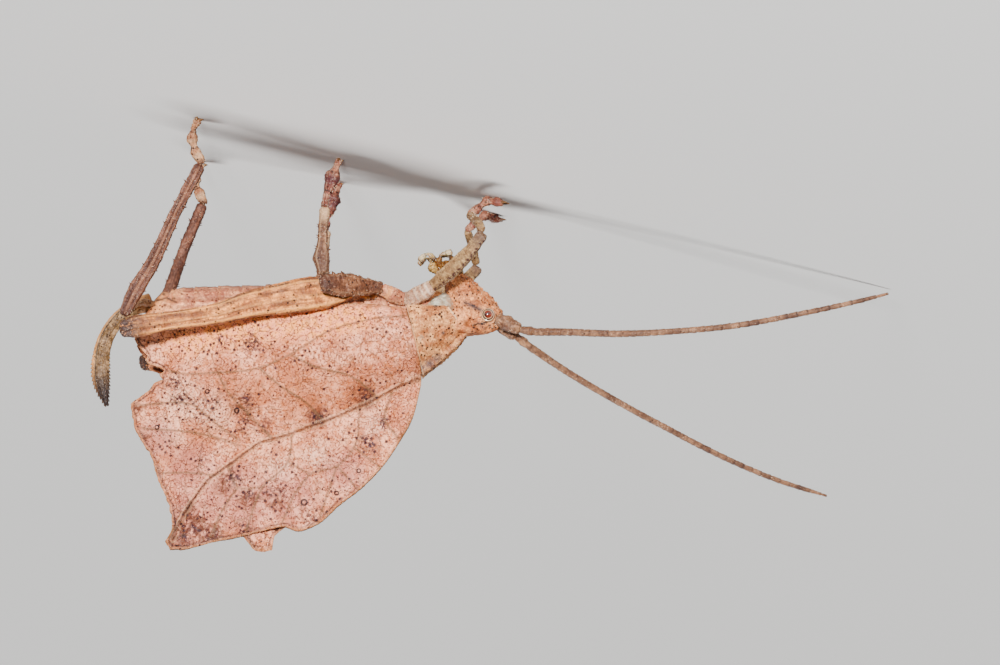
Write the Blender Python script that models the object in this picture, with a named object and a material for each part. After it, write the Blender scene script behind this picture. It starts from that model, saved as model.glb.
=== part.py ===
"""Leaf-mimic katydid (Typophyllum laciniosum), a female, as a still, life-size model.

Every form is written in millimetres in the insect's own frame: the head looks towards -X,
+Z is the back, the insect's left side lies at -Y. STANCE then tips the body head down,
lifts it to its standing height and scales it to metres, with the floor at Z = 0.
"""

import math

import bmesh
import bpy
import numpy as np
from mathutils import Matrix, Vector
from mathutils.geometry import delaunay_2d_cdt

# Driving dimensions, in millimetres
METRES = 0.001
BODY_PITCH = math.radians(12.5)
BODY_HEIGHT = 10.75
GAP = 0.3
EYE_RADIUS = 0.55
SHEET = 0.5
RIDGE = 0.2
WING_ROOT_HALF_WIDTH = 2.85
MIDPLANE_CLEARANCE = 0.2
SHARP_ANGLE = math.radians(50)
LEFT, RIGHT = -1.0, 1.0
SIDES = {"left": LEFT, "right": RIGHT}

STANCE = (
    Matrix.Scale(METRES, 4)
    @ Matrix.Translation((0.0, 0.0, BODY_HEIGHT))
    @ Matrix.Rotation(-BODY_PITCH, 4, "Y")
)


# Scene and materials

def clear_scene():
    for obj in list(bpy.data.objects):
        bpy.data.objects.remove(obj, do_unlink=True)


def new_collection(name, hidden=False):
    collection = bpy.data.collections.new(name)
    bpy.context.scene.collection.children.link(collection)
    collection.hide_render = hidden
    return collection


clear_scene()
PARTS = new_collection("leaf_mimic_katydid")
CUTTERS = new_collection("cutters", hidden=True)

# Base colour, roughness
FINISHES = {
    "head": ((0.50, 0.27, 0.15), 0.60),
    "eye": ((0.12, 0.03, 0.02), 0.15),
    "mouth": ((0.55, 0.33, 0.12), 0.35),
    "antenna": ((0.42, 0.28, 0.19), 0.60),
    "pronotum": ((0.52, 0.27, 0.16), 0.60),
    "body": ((0.55, 0.34, 0.24), 0.55),
    "wing": ((0.62, 0.33, 0.26), 0.65),
    "ovipositor": ((0.36, 0.25, 0.11), 0.35),
    "leg": ((0.40, 0.25, 0.18), 0.60),
}


def dress(obj, finish):
    """Give an object its own Principled material."""
    colour, roughness = FINISHES[finish]
    material = bpy.data.materials.new(obj.name)
    material.use_nodes = True
    shader = material.node_tree.nodes["Principled BSDF"]
    shader.inputs["Base Color"].default_value = (*colour, 1.0)
    shader.inputs["Roughness"].default_value = roughness
    shader.inputs["Metallic"].default_value = 0.0
    obj.data.materials.clear()
    obj.data.materials.append(material)


# Mesh helpers

def to_object(name, bm, collection=None):
    """Turn a bmesh into an object with its faces pointing out."""
    bmesh.ops.recalc_face_normals(bm, faces=bm.faces)
    mesh = bpy.data.meshes.new(name)
    bm.to_mesh(mesh)
    bm.free()
    obj = bpy.data.objects.new(name, mesh)
    (collection or PARTS).objects.link(obj)
    return obj


def oval(centre, across, up, half_width, half_height, sides, power):
    """A ring of points on a superellipse, round at power 2 and boxier above it."""
    ring = []
    for step in range(sides):
        turn = 2 * math.pi * step / sides
        c = math.cos(turn)
        s = math.sin(turn)
        x = math.copysign(abs(c) ** (2 / power), c) * half_width
        y = math.copysign(abs(s) ** (2 / power), s) * half_height
        ring.append(centre + across * x + up * y)
    return ring


def skin(name, rings, first_pole, last_pole, collection=None):
    """A closed surface over rings of equal count, drawn in to a pole at each end."""
    bm = bmesh.new()
    loops = []
    for ring in rings:
        loops.append([bm.verts.new(point) for point in ring])
    count = len(loops[0])
    for near, far in zip(loops, loops[1:]):
        for i in range(count):
            j = (i + 1) % count
            bm.faces.new((near[i], near[j], far[j], far[i]))
    for loop, pole in ((loops[0], first_pole), (loops[-1], last_pole)):
        tip = bm.verts.new(pole)
        for i in range(count):
            bm.faces.new((loop[i], loop[(i + 1) % count], tip))
    return to_object(name, bm, collection)


ROUNDING = ((0.82, 0.57), (0.42, 0.91))


def limb(name, stations, sides=10, blunt=0.8, across=(0, 1, 0), power=2.0, grow=0.0, collection=None):
    """A loft along stations (x, y, z, half depth, half thickness) with rounded ends.

    The rounding runs past each end station by blunt times its smaller half size. The
    thickness lies along across, the depth at right angles to it and to the path.
    """
    centres = [Vector(s[:3]) for s in stations]
    depths = [s[3] + grow for s in stations]
    widths = [s[4] + grow for s in stations]
    hint = Vector(across)
    rings = []
    frames = []
    for i, centre in enumerate(centres):
        before = centres[max(i - 1, 0)]
        after = centres[min(i + 1, len(centres) - 1)]
        along = (after - before).normalized()
        side = (hint - along * hint.dot(along)).normalized()
        up = along.cross(side)
        frames.append((along, side, up))
        rings.append(oval(centre, side, up, widths[i], depths[i], sides, power))
    caps = []
    for index, outward in ((0, -1.0), (len(centres) - 1, 1.0)):
        along, side, up = frames[index]
        reach = blunt * min(widths[index], depths[index])
        extra = []
        for out, shrink in ROUNDING:
            centre = centres[index] + along * (outward * reach * out)
            extra.append(oval(centre, side, up, widths[index] * shrink,
                              depths[index] * shrink, sides, power))
        pole = centres[index] + along * (outward * reach)
        caps.append((extra, pole))
    first, last = caps
    rings = first[0] + rings + last[0][::-1]
    return skin(name, rings, first[1], last[1], collection)


def ball(name, centre, radius, segments=12, rings=8, collection=None):
    bm = bmesh.new()
    place = Matrix.Translation(centre)
    bmesh.ops.create_uvsphere(bm, u_segments=segments, v_segments=rings, radius=radius, matrix=place)
    return to_object(name, bm, collection)


def spike(base, tip, radius, sides=5):
    """A tapered tooth or spine from base to tip, to be fused into a node."""
    base = Vector(base)
    tip = Vector(tip)
    along = tip - base
    bm = bmesh.new()
    turn = along.to_track_quat("Z", "Y").to_matrix().to_4x4()
    place = Matrix.Translation((base + tip) / 2) @ turn
    bmesh.ops.create_cone(bm, cap_ends=True, segments=sides, radius1=radius, radius2=radius * 0.15,
                          depth=along.length, matrix=place)
    return to_object("spike", bm, CUTTERS)


def tapered_tube(name, points, radii, resolution=1):
    """A round tube along points, made as a bevelled curve and then closed as a mesh."""
    curve = bpy.data.curves.new(name, "CURVE")
    curve.dimensions = "3D"
    curve.bevel_depth = 1.0
    curve.bevel_resolution = resolution
    curve.use_fill_caps = True
    spline = curve.splines.new("POLY")
    spline.points.add(len(points) - 1)
    for slot, point, radius in zip(spline.points, points, radii):
        slot.co = (*point, 1.0)
        slot.radius = radius
    guide = bpy.data.objects.new(name, curve)
    CUTTERS.objects.link(guide)
    bpy.context.view_layer.update()
    graph = bpy.context.evaluated_depsgraph_get()
    mesh = bpy.data.meshes.new_from_object(guide.evaluated_get(graph))
    bpy.data.objects.remove(guide, do_unlink=True)
    bm = bmesh.new()
    bm.from_mesh(mesh)
    bmesh.ops.remove_doubles(bm, verts=bm.verts, dist=0.0001)
    return to_object(name, bm)


def smooth_path(points, count):
    """Points at even steps along a Catmull-Rom curve through the given ones."""
    knots = [Vector(p) for p in points]
    knots = [knots[0] * 2 - knots[1]] + knots + [knots[-1] * 2 - knots[-2]]
    spans = len(knots) - 3
    path = []
    for step in range(count):
        t = spans * step / (count - 1)
        span = min(int(t), spans - 1)
        u = t - span
        a, b, c, d = knots[span:span + 4]
        path.append(0.5 * (2 * b + (c - a) * u + (2 * a - 5 * b + 4 * c - d) * u * u
                           + (3 * b - a - 3 * c + d) * u ** 3))
    return path


def keep_largest(obj):
    """Keep only the closed surface of an object that encloses most."""
    bm = bmesh.new()
    bm.from_mesh(obj.data)
    bm.faces.ensure_lookup_table()
    seen = set()
    bodies = []
    for face in bm.faces:
        if face in seen:
            continue
        seen.add(face)
        body = [face]
        for item in body:
            for edge in item.edges:
                for other in edge.link_faces:
                    if other not in seen:
                        seen.add(other)
                        body.append(other)
        bodies.append(body)

    def volume(body):
        total = 0.0
        for face in body:
            origin = face.verts[0].co
            for a, b in zip(face.verts[1:], face.verts[2:]):
                total += origin.dot(a.co.cross(b.co))
        return total

    bodies.sort(key=volume)
    drop = [face for body in bodies[:-1] for face in body]
    bmesh.ops.delete(bm, geom=drop, context="FACES")
    loose = [vert for vert in bm.verts if not vert.link_faces]
    bmesh.ops.delete(bm, geom=loose, context="VERTS")
    bm.to_mesh(obj.data)
    bm.free()


def combine(obj, pieces, operation):
    """Apply one Boolean on a collection of closed meshes, then remove those meshes."""
    group = bpy.data.collections.new("joined")
    CUTTERS.children.link(group)
    for piece in pieces:
        for holder in list(piece.users_collection):
            holder.objects.unlink(piece)
        group.objects.link(piece)
        piece.hide_render = True
        piece.display_type = "WIRE"
    join = obj.modifiers.new("join", "BOOLEAN")
    join.operation = operation
    join.operand_type = "COLLECTION"
    join.collection = group
    join.solver = "EXACT"
    bpy.context.view_layer.update()
    graph = bpy.context.evaluated_depsgraph_get()
    mesh = bpy.data.meshes.new_from_object(obj.evaluated_get(graph))
    obj.modifiers.clear()
    obj.data = mesh
    for piece in pieces:
        bpy.data.objects.remove(piece, do_unlink=True)
    bpy.data.collections.remove(group)
    keep_largest(obj)


def fuse(obj, pieces):
    combine(obj, pieces, "UNION")


def carve(obj, pieces):
    combine(obj, pieces, "DIFFERENCE")


def mirrored(point, side):
    """A left-side point, or a station that starts with one, on the given side."""
    return (point[0], -side * point[1], *point[2:])


# Head

# Centre x, z, half depth and half width of the head capsule, from the crown down the face
HEAD_STATIONS = (
    (-7.78, 0.32, 0.42, 0.75),
    (-7.42, 0.00, 1.05, 1.35),
    (-6.84, -0.32, 1.38, 1.70),
    (-6.18, -0.84, 1.48, 1.88),
    (-5.53, -1.50, 1.43, 1.92),
    (-4.98, -2.26, 1.31, 1.82),
    (-4.64, -2.90, 1.10, 1.55),
    (-4.50, -3.32, 0.84, 1.30),
)
HEAD_BLUNT = 0.35
EYE = (-6.98, -1.60, -0.16)
SCAPE_ROOT = (-7.78, -0.78, 0.02)
SCAPE_ROOT_HALF, SCAPE_HALF, SCAPE_TIP_HALF = 0.42, 0.58, 0.48
SOCKET_CLEARANCE = 0.36
CROWN = ((-7.75, 0.62, 0.20, 0.28), (-6.90, 0.78, 0.34, 0.55), (-5.95, 0.78, 0.40, 0.95))
CHEEK_RIDGE = ((-6.55, -1.55, 0.35), (-6.10, -1.55, 0.45), (-5.45, -1.35, 0.75))
FACE_RIDGE = ((-7.95, 0.55, -0.72), (-7.05, 0.95, -1.86), (-6.10, 1.02, -2.92), (-5.55, 0.80, -3.48))


def build_head():
    stations = [(x, 0.0, z, depth, width) for x, z, depth, width in HEAD_STATIONS]
    head = limb("head", stations, sides=16, blunt=HEAD_BLUNT, power=2.3)
    crown = [(x, 0.0, z, depth, width) for x, z, depth, width in CROWN]
    pieces = [limb("crown", crown, sides=8, collection=CUTTERS)]
    for side in SIDES.values():
        for course, thick in ((CHEEK_RIDGE, 0.20), (FACE_RIDGE, 0.16)):
            stations = [mirrored((*point, 0.16, thick), side) for point in smooth_path(course, 4)]
            pieces.append(limb("ridge", stations, sides=6, collection=CUTTERS))
    fuse(head, pieces)
    cuts = []
    for side in SIDES.values():
        cuts.append(ball("socket", mirrored(EYE, side), EYE_RADIUS + GAP, 14, 10, CUTTERS))
        socket = scape_stations(side)
        cuts.append(limb("scape_socket", socket, sides=10, grow=SOCKET_CLEARANCE, collection=CUTTERS))
    carve(head, cuts)
    dress(head, "head")


def build_eyes():
    for word, side in SIDES.items():
        eye = ball("eye_" + word, mirrored(EYE, side), EYE_RADIUS, 16, 12)
        dress(eye, "eye")


# Antennae

# From root to tip, on the left by the photograph's near side, on the right by its far side
SCAPE_TIPS = {LEFT: (-9.50, -0.90, 0.88), RIGHT: (-9.28, 0.98, 1.12)}
PEDICEL_TIPS = {LEFT: (-10.72, -0.97, 1.06), RIGHT: (-10.20, 1.15, 1.78)}
FLAGELLA = {
    LEFT: ((-11.06, -0.98, 1.09), (-12.8, -1.05, 1.10), (-17.5, -1.2, 1.25), (-22.3, -1.3, 1.03),
           (-27.1, -1.4, 0.55), (-31.9, -1.5, -0.34), (-35.9, -1.6, -1.20), (-39.0, -1.6, -1.98)),
    RIGHT: ((-10.48, 1.27, 1.98), (-12.9, 2.2, 3.47), (-17.8, 4.0, 6.1), (-22.0, 5.6, 8.1),
            (-26.2, 7.2, 10.0), (-30.8, 9.0, 11.7), (-35.2, 10.8, 12.85)),
}
FLAGELLUM_RADII = ((0.0, 0.33), (0.10, 0.30), (0.35, 0.27), (0.75, 0.25), (0.93, 0.22), (1.0, 0.12))
FLAGELLUM_STEPS = 33
FLAGELLUM_SPLIT = 15


def scape_stations(side):
    root = Vector(mirrored(SCAPE_ROOT, side))
    tip = Vector(SCAPE_TIPS[side])
    middle = root.lerp(tip, 0.5)
    return [(*root, SCAPE_ROOT_HALF, SCAPE_ROOT_HALF), (*middle, SCAPE_HALF, SCAPE_HALF),
            (*tip, SCAPE_TIP_HALF, SCAPE_TIP_HALF)]


def build_antennae():
    for word, side in SIDES.items():
        scape = limb("scape_" + word, scape_stations(side), sides=10)
        tip = Vector(SCAPE_TIPS[side])
        end = Vector(PEDICEL_TIPS[side])
        waist = tip.lerp(end, 0.35)
        bulb = tip.lerp(end, 0.7)
        pedicel = limb("pedicel", [(*tip, 0.3, 0.3), (*waist, 0.30, 0.30), (*bulb, 0.40, 0.40),
                                   (*end.lerp(tip, 0.05), 0.34, 0.34)],
                       sides=8, blunt=0.3, collection=CUTTERS)
        fuse(scape, [pedicel])
        dress(scape, "antenna")
        path = smooth_path(FLAGELLA[side], FLAGELLUM_STEPS)
        share = np.linspace(0.0, 1.0, FLAGELLUM_STEPS)
        radii = np.interp(share, *zip(*FLAGELLUM_RADII))
        near = path[:FLAGELLUM_SPLIT + 1]
        far = path[FLAGELLUM_SPLIT:]
        step = (far[1] - far[0]).normalized()
        near[-1] = near[-1] - step * GAP / 2
        far[0] = far[0] + step * GAP / 2
        base = tapered_tube("flagellum_base_" + word, near, radii[:FLAGELLUM_SPLIT + 1])
        dress(base, "antenna")
        outer = tapered_tube("flagellum_tip_" + word, far, radii[FLAGELLUM_SPLIT:])
        dress(outer, "antenna")


# Mouthparts

MOUTH_BLOCK = ((-4.65, -4.28, 0.32, 0.80), (-3.90, -4.20, 0.50, 0.88), (-3.10, -4.15, 0.55, 0.75),
               (-2.55, -4.30, 0.38, 0.50))
LABRUM = ((-4.75, -4.45, 0.20, 0.60), (-4.50, -4.85, 0.20, 0.62), (-4.15, -5.10, 0.16, 0.40))
UPPER_PALP = ((-3.2, -0.70, -4.3, 0.25), (-2.7, -1.00, -4.9, 0.25), (-2.1, -1.05, -5.15, 0.26),
              (-1.65, -0.95, -4.8, 0.30))
LOWER_PALP = ((-3.0, -0.35, -4.5, 0.24), (-3.3, -0.50, -5.2, 0.24), (-4.0, -0.50, -5.45, 0.28))


def build_mouthparts():
    stations = [(x, 0.0, z, depth, width) for x, z, depth, width in MOUTH_BLOCK]
    mouth = limb("mouthparts", stations, sides=10, power=2.4)
    stations = [(x, 0.0, z, depth, width) for x, z, depth, width in LABRUM]
    pieces = [limb("labrum", stations, sides=8, collection=CUTTERS)]
    for side in SIDES.values():
        for palp in (UPPER_PALP, LOWER_PALP):
            stations = [mirrored((x, y, z, r, r), side) for x, y, z, r in palp]
            pieces.append(limb("palp", stations, sides=6, collection=CUTTERS))
    fuse(mouth, pieces)
    dress(mouth, "mouth")


# Pronotum and thorax

# Top x, z, bottom x, z and half width of the saddle, from its front rim to its rear rim
PRONOTUM_SECTIONS = (
    (-5.30, 1.20, -3.75, -0.90, 1.75),
    (-4.75, 1.95, -3.20, -0.95, 2.05),
    (-4.05, 2.70, -2.45, -0.95, 2.35),
    (-3.25, 3.42, -1.70, -0.95, 2.60),
    (-2.45, 4.02, -1.00, -0.95, 2.78),
    (-2.12, 4.28, -0.74, -0.92, 2.82),
    (-1.92, 4.50, -0.56, -0.90, 2.94),
)
HOOD_CLEARANCE = 0.36
# Half outline of a section: share of its half width, then share of its height
SIDE_PROFILE = ((0.0, 0.0), (0.55, 0.0), (0.92, 0.04), (1.0, 0.16), (0.97, 0.38), (0.80, 0.66))
DISC_SHARE = 0.42
# From the rim of the flat top to its middle: share of the top's half width, then of the height
TOP_PROFILE = ((1.0, 0.93), (0.98, 1.0), (0.55, 0.985), (0.0, 0.975))
HOOD_PUSH = 1.2
RIM_TOOTH_LEAN = (-0.10, 0.08, 0.24)
RIM_TOOTH_PLACE = 0.40
RIM_TOOTH_RADIUS = 0.20


def pronotum_rings(grow):
    """Hood sections: upright sides that lean in to a flat, rimmed top."""
    rings = []
    for top_x, top_z, low_x, low_z, half in PRONOTUM_SECTIONS:
        top = Vector((top_x, 0.0, top_z))
        low = Vector((low_x, 0.0, low_z))
        up = (top - low).normalized()
        top += up * grow
        low -= up * grow
        wide = half + grow
        disc = half * DISC_SHARE + grow
        right = [(across * wide, height) for across, height in SIDE_PROFILE]
        right += [(across * disc, height) for across, height in TOP_PROFILE]
        outline = right + [(-across, height) for across, height in right[-2:0:-1]]
        rings.append([low.lerp(top, height) + Vector((0.0, across, 0.0)) for across, height in outline])
    return rings


def pronotum_block(name, grow=0.0, collection=None):
    rings = pronotum_rings(grow)
    if grow:
        push = Vector((1.0, 0.0, 1.0)).normalized() * (grow * HOOD_PUSH)
        rings[0] = [point - push for point in rings[0]]
        back = Vector((1.0, 0.0, 0.25)).normalized() * (grow * HOOD_PUSH)
        rings[-1] = [point + back for point in rings[-1]]
    middles = [sum(ring, Vector()) / len(ring) for ring in (rings[0], rings[-1])]
    return skin(name, rings, middles[0], middles[1], collection)


# Centre x, z, half depth and half width of the thorax, from the neck to the waist
THORAX_STATIONS = (
    (-3.55, -1.75, 0.35, 0.80),
    (-2.6, -1.65, 0.75, 1.35),
    (-1.6, -0.9, 1.75, 1.60),
    (-0.4, 0.1, 2.70, 1.75),
    (0.9, 0.2, 2.85, 2.00),
    (2.2, 0.1, 2.80, 2.05),
    (2.85, 0.05, 2.70, 2.05),
)


def build_pronotum():
    shield = pronotum_block("pronotum")
    teeth = []
    for side in SIDES.values():
        for top_x, top_z, _, _, half in PRONOTUM_SECTIONS[1:-2]:
            top = Vector((top_x, side * half * RIM_TOOTH_PLACE, top_z))
            lean = Vector(mirrored(RIM_TOOTH_LEAN, -side))
            teeth.append(spike(top - lean, top + lean, RIM_TOOTH_RADIUS))
    fuse(shield, teeth)
    carve(shield, [head_block()])
    dress(shield, "pronotum")


def head_block():
    """The head capsule grown by the gap, to cut the hollow that it sits in."""
    stations = [(x, 0.0, z, depth, width) for x, z, depth, width in HEAD_STATIONS]
    return limb("head_block", stations, sides=16, blunt=HEAD_BLUNT, power=2.3, grow=GAP,
                collection=CUTTERS)


def build_thorax():
    stations = [(x, 0.0, z, depth, width) for x, z, depth, width in THORAX_STATIONS]
    thorax = limb("thorax", stations, sides=14, blunt=0.2, power=2.2)
    carve(thorax, [pronotum_block("hood", HOOD_CLEARANCE, CUTTERS), head_block()])
    dress(thorax, "body")


# Abdomen, cerci and ovipositor

ABDOMEN_START = 4.0
ABDOMEN_END = 19.7
ABDOMEN_RINGS = 9
# Share of a ring's length and its swelling there
RING_PROFILE = ((0.08, 0.94), (0.45, 1.0), (0.92, 1.0))
# Share of the length, centre z, half depth and half width
ABDOMEN_SHAPE = (
    (0.00, -0.05, 2.75, 2.05),
    (0.25, 0.00, 2.85, 2.20),
    (0.50, 0.10, 2.80, 2.15),
    (0.72, 0.10, 2.70, 1.90),
    (0.88, 0.00, 2.50, 1.45),
    (0.97, -0.40, 2.05, 1.05),
    (1.00, -0.80, 1.60, 0.80),
)


def build_abdomen():
    share = np.array([row[0] for row in ABDOMEN_SHAPE])
    columns = [np.array([row[i] for row in ABDOMEN_SHAPE]) for i in (1, 2, 3)]
    stations = []
    for ring in range(ABDOMEN_RINGS):
        for part, swell in RING_PROFILE:
            at = (ring + part) / ABDOMEN_RINGS
            centre, depth, width = [float(np.interp(at, share, column)) for column in columns]
            x = ABDOMEN_START + (ABDOMEN_END - ABDOMEN_START) * at
            stations.append((x, 0.0, centre, depth * swell, width * swell))
    abdomen = limb("abdomen", stations, sides=14, blunt=0.25)
    dress(abdomen, "body")


CERCUS_RADII = (0.28, 0.26, 0.22, 0.14)
CERCUS = ((20.08, -0.85, -1.15), (20.55, -1.10, -1.20), (21.05, -1.10, -1.00), (21.45, -0.90, -0.60))
# Centre x, z, half depth and half thickness along the blade
OVIPOSITOR = (
    (20.57, -1.20, 0.64, 0.45),
    (21.55, -0.75, 0.62, 0.43),
    (22.30, -0.16, 0.60, 0.40),
    (22.88, 0.52, 0.60, 0.37),
    (23.31, 1.24, 0.61, 0.35),
    (23.64, 2.15, 0.64, 0.32),
    (23.81, 3.15, 0.66, 0.30),
    (23.84, 4.05, 0.67, 0.28),
    (23.79, 4.85, 0.64, 0.27),
    (23.64, 5.70, 0.48, 0.26),
    (23.46, 6.40, 0.27, 0.25),
    (23.34, 6.80, 0.13, 0.20),
)
TOOTHED_FROM = 7
BLADE_TEETH = 7
BLADE_TOOTH_ROOT = 0.20
BLADE_TOOTH_REACH = 0.16
BLADE_TOOTH_LEAN = 0.14
BLADE_TOOTH_RADIUS = 0.17


def build_cerci():
    for word, side in SIDES.items():
        stations = [mirrored((*p, r, r), side) for p, r in zip(CERCUS, CERCUS_RADII)]
        cercus = limb("cercus_" + word, stations, sides=8, across=(0, 0, 1))
        dress(cercus, "ovipositor")


def build_ovipositor():
    stations = [(x, 0.0, z, depth, thick) for x, z, depth, thick in OVIPOSITOR]
    blade = limb("ovipositor", stations, sides=10, power=2.4)
    edge = [(x, depth, z) for x, z, depth, thick in OVIPOSITOR[TOOTHED_FROM:]]
    spine = smooth_path(edge, BLADE_TEETH)
    teeth = []
    for here, ahead in zip(spine, spine[1:]):
        along = Vector((ahead.x - here.x, 0.0, ahead.z - here.z)).normalized()
        outward = Vector((along.z, 0.0, -along.x))
        centre = Vector((here.x, 0.0, here.z))
        for hand in (-1.0, 1.0):
            root = centre + outward * (hand * (here.y - BLADE_TOOTH_ROOT))
            tip = centre + outward * (hand * (here.y + BLADE_TOOTH_REACH)) + along * BLADE_TOOTH_LEAN
            teeth.append(spike(root, tip, BLADE_TOOTH_RADIUS))
    fuse(blade, teeth)
    dress(blade, "ovipositor")


# Wings

COSTAL_MARGIN = ((2.0, -0.80), (4.2, -0.85), (8.0, -0.70), (11.2, -0.40), (15.0, 0.15),
                 (18.5, 0.75), (20.7, 1.20))
REAR_MARGIN = ((21.1, 1.9), (20.5, 2.75), (20.0, 3.25), (20.2, 3.5), (19.9, 3.9), (19.5, 4.0),
               (18.65, 4.4), (19.05, 4.7), (18.8, 5.1), (19.4, 5.35), (19.9, 5.95), (20.7, 6.5),
               (21.35, 7.0), (21.2, 8.0), (21.0, 8.9), (20.5, 9.8), (19.75, 11.0), (19.25, 12.7),
               (18.4, 14.6), (18.05, 16.0), (18.05, 16.9), (18.55, 17.8))
WING_TIP = ((18.2, 18.45), (17.1, 18.45))
# Between the tip and the scalloped lobe the two wings differ
LEFT_LOWER_MARGIN = ((15.0, 17.95), (12.5, 17.4), (10.0, 16.8))
RIGHT_LOWER_MARGIN = ((15.0, 17.9), (12.4, 17.4), (12.0, 17.9), (11.6, 18.4), (11.0, 18.6),
                      (10.1, 18.45), (9.9, 17.3))
LOBE_MARGIN = ((9.1, 16.65), (8.7, 16.8), (8.0, 17.0), (7.3, 16.8), (6.3, 16.3), (4.9, 15.0),
               (3.0, 13.5), (1.25, 11.65), (0.0, 9.8), (-0.95, 8.1), (-1.5, 6.1))
FRONT_MARGIN = ((-1.50, 4.8), (-1.18, 2.8), (-0.70, 1.2), (-0.18, -0.55))

# Main veins: half width of the ridge, its height and its course
MIDRIB = (0.34, 1.0, ((-1.4, 5.0), (0.0, 5.4), (2.4, 6.7), (4.4, 7.6), (7.7, 8.9), (11.3, 10.1),
                      (14.1, 12.2), (15.2, 13.0), (16.6, 14.9), (17.3, 16.1), (17.8, 17.9)))
UPPER_VEIN = (0.26, 0.6, ((-0.2, 0.2), (2.4, 0.5), (5.6, 1.3), (8.9, 3.3), (11.5, 4.3), (14.7, 4.65),
                          (18.3, 4.45)))
BRANCH_VEINS = (
    ((12.7, 9.8), (15.05, 8.2), (16.0, 7.35), (20.9, 7.1)),
    ((12.7, 10.2), (15.5, 9.4), (20.4, 8.9)),
    ((14.6, 12.6), (16.6, 12.4), (18.8, 12.4)),
    ((10.2, 9.6), (11.9, 7.9), (13.8, 5.9), (14.4, 4.7)),
    ((6.0, 8.2), (7.7, 6.7), (9.4, 5.7), (11.0, 4.4)),
    ((1.8, 6.3), (3.8, 4.9), (6.9, 4.1), (8.6, 3.3)),
    ((8.55, 9.3), (8.9, 11.5), (10.85, 13.5), (12.15, 17.0)),
    ((13.6, 12.0), (12.8, 13.5), (10.85, 13.5)),
    ((12.8, 13.5), (13.85, 15.0), (15.0, 17.5)),
    ((3.2, 7.2), (3.65, 10.3), (5.0, 11.8), (7.1, 12.5), (8.15, 13.75), (9.3, 16.3)),
    ((5.0, 11.8), (6.35, 15.9)),
    ((3.65, 10.3), (1.6, 11.9)),
    ((5.0, 11.8), (3.4, 13.6)),
    ((7.1, 12.5), (8.9, 11.5)),
    ((0.65, 6.0), (1.2, 8.1), (0.15, 9.6)),
)
BRANCH_HALF_WIDTH = 0.22
BRANCH_HEIGHT = 0.45
MARGIN_STEP = 1.0
VEIN_STEP = 1.0
FIELD_STEP = 1.9
FIELD_CLEARANCE = 0.7
MARGIN_CLEARANCE = 0.3
MERGE_DISTANCE = 0.06
SLOPE_PROBE = 0.05
# Height of the widest part of the wings, and how far they tuck in below it
WIDEST_HEIGHT = 0.8
TUCK_BELOW = 0.5
TUCK = 0.05


def side_width(x):
    """Half the distance between the two wings where they pass the body."""
    return np.interp(x, (10.0, 15.0, 18.0, 21.5), (WING_ROOT_HALF_WIDTH, 2.6, 2.15, 1.7))


def close_height(x):
    """Height at which the two wings meet over the back."""
    return np.interp(x, (-2.0, 0.0, 8.0, 14.0, 18.0), (4.9, 5.6, 9.0, 11.0, 12.0))


def wing_offset(x, z):
    """Distance of the wing's middle surface from the midplane."""
    closed = MIDPLANE_CLEARANCE + SHEET / 2
    rise = close_height(x)
    share = np.clip((rise - z) / (rise - WIDEST_HEIGHT), 0.0, 1.0)
    spread = side_width(x) - closed
    tuck = TUCK * np.clip(TUCK_BELOW - z, 0.0, None) ** 2
    return closed + spread * np.sin(share * math.pi / 2) - tuck


def resample(line, step):
    """Points at roughly even steps along a line, its own corners kept."""
    points = []
    for a, b in zip(line, line[1:]):
        a = np.array(a)
        b = np.array(b)
        count = max(1, round(float(np.linalg.norm(b - a)) / step))
        for i in range(count):
            points.append(a + (b - a) * i / count)
    points.append(np.array(line[-1]))
    return points


def distance_to_line(points, line):
    """Shortest distance of each point to a line of straight runs."""
    best = np.full(len(points), np.inf)
    for a, b in zip(line, line[1:]):
        a = np.array(a)
        run = np.array(b) - a
        share = np.clip(((points - a) @ run) / (run @ run), 0.0, 1.0)
        best = np.minimum(best, np.linalg.norm(points - a - share[:, None] * run, axis=1))
    return best


def vein_rows(line, half_width):
    """A vein's crest and its two feet, as three rows of points."""
    crest = np.array(resample(line, VEIN_STEP))
    along = np.gradient(crest, axis=0)
    along /= np.linalg.norm(along, axis=1)[:, None]
    across = np.stack([-along[:, 1], along[:, 0]], axis=1)
    return [crest, crest + across * half_width, crest - across * half_width]


def inside(points, outline):
    """Which points lie within a closed outline, by counting crossings."""
    inner = np.zeros(len(points), bool)
    for a, b in zip(outline, np.roll(outline, -1, axis=0)):
        spans = (a[1] > points[:, 1]) != (b[1] > points[:, 1])
        if a[1] == b[1]:
            continue
        cross = a[0] + (points[:, 1] - a[1]) * (b[0] - a[0]) / (b[1] - a[1])
        inner ^= spans & (points[:, 0] < cross)
    return inner


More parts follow.
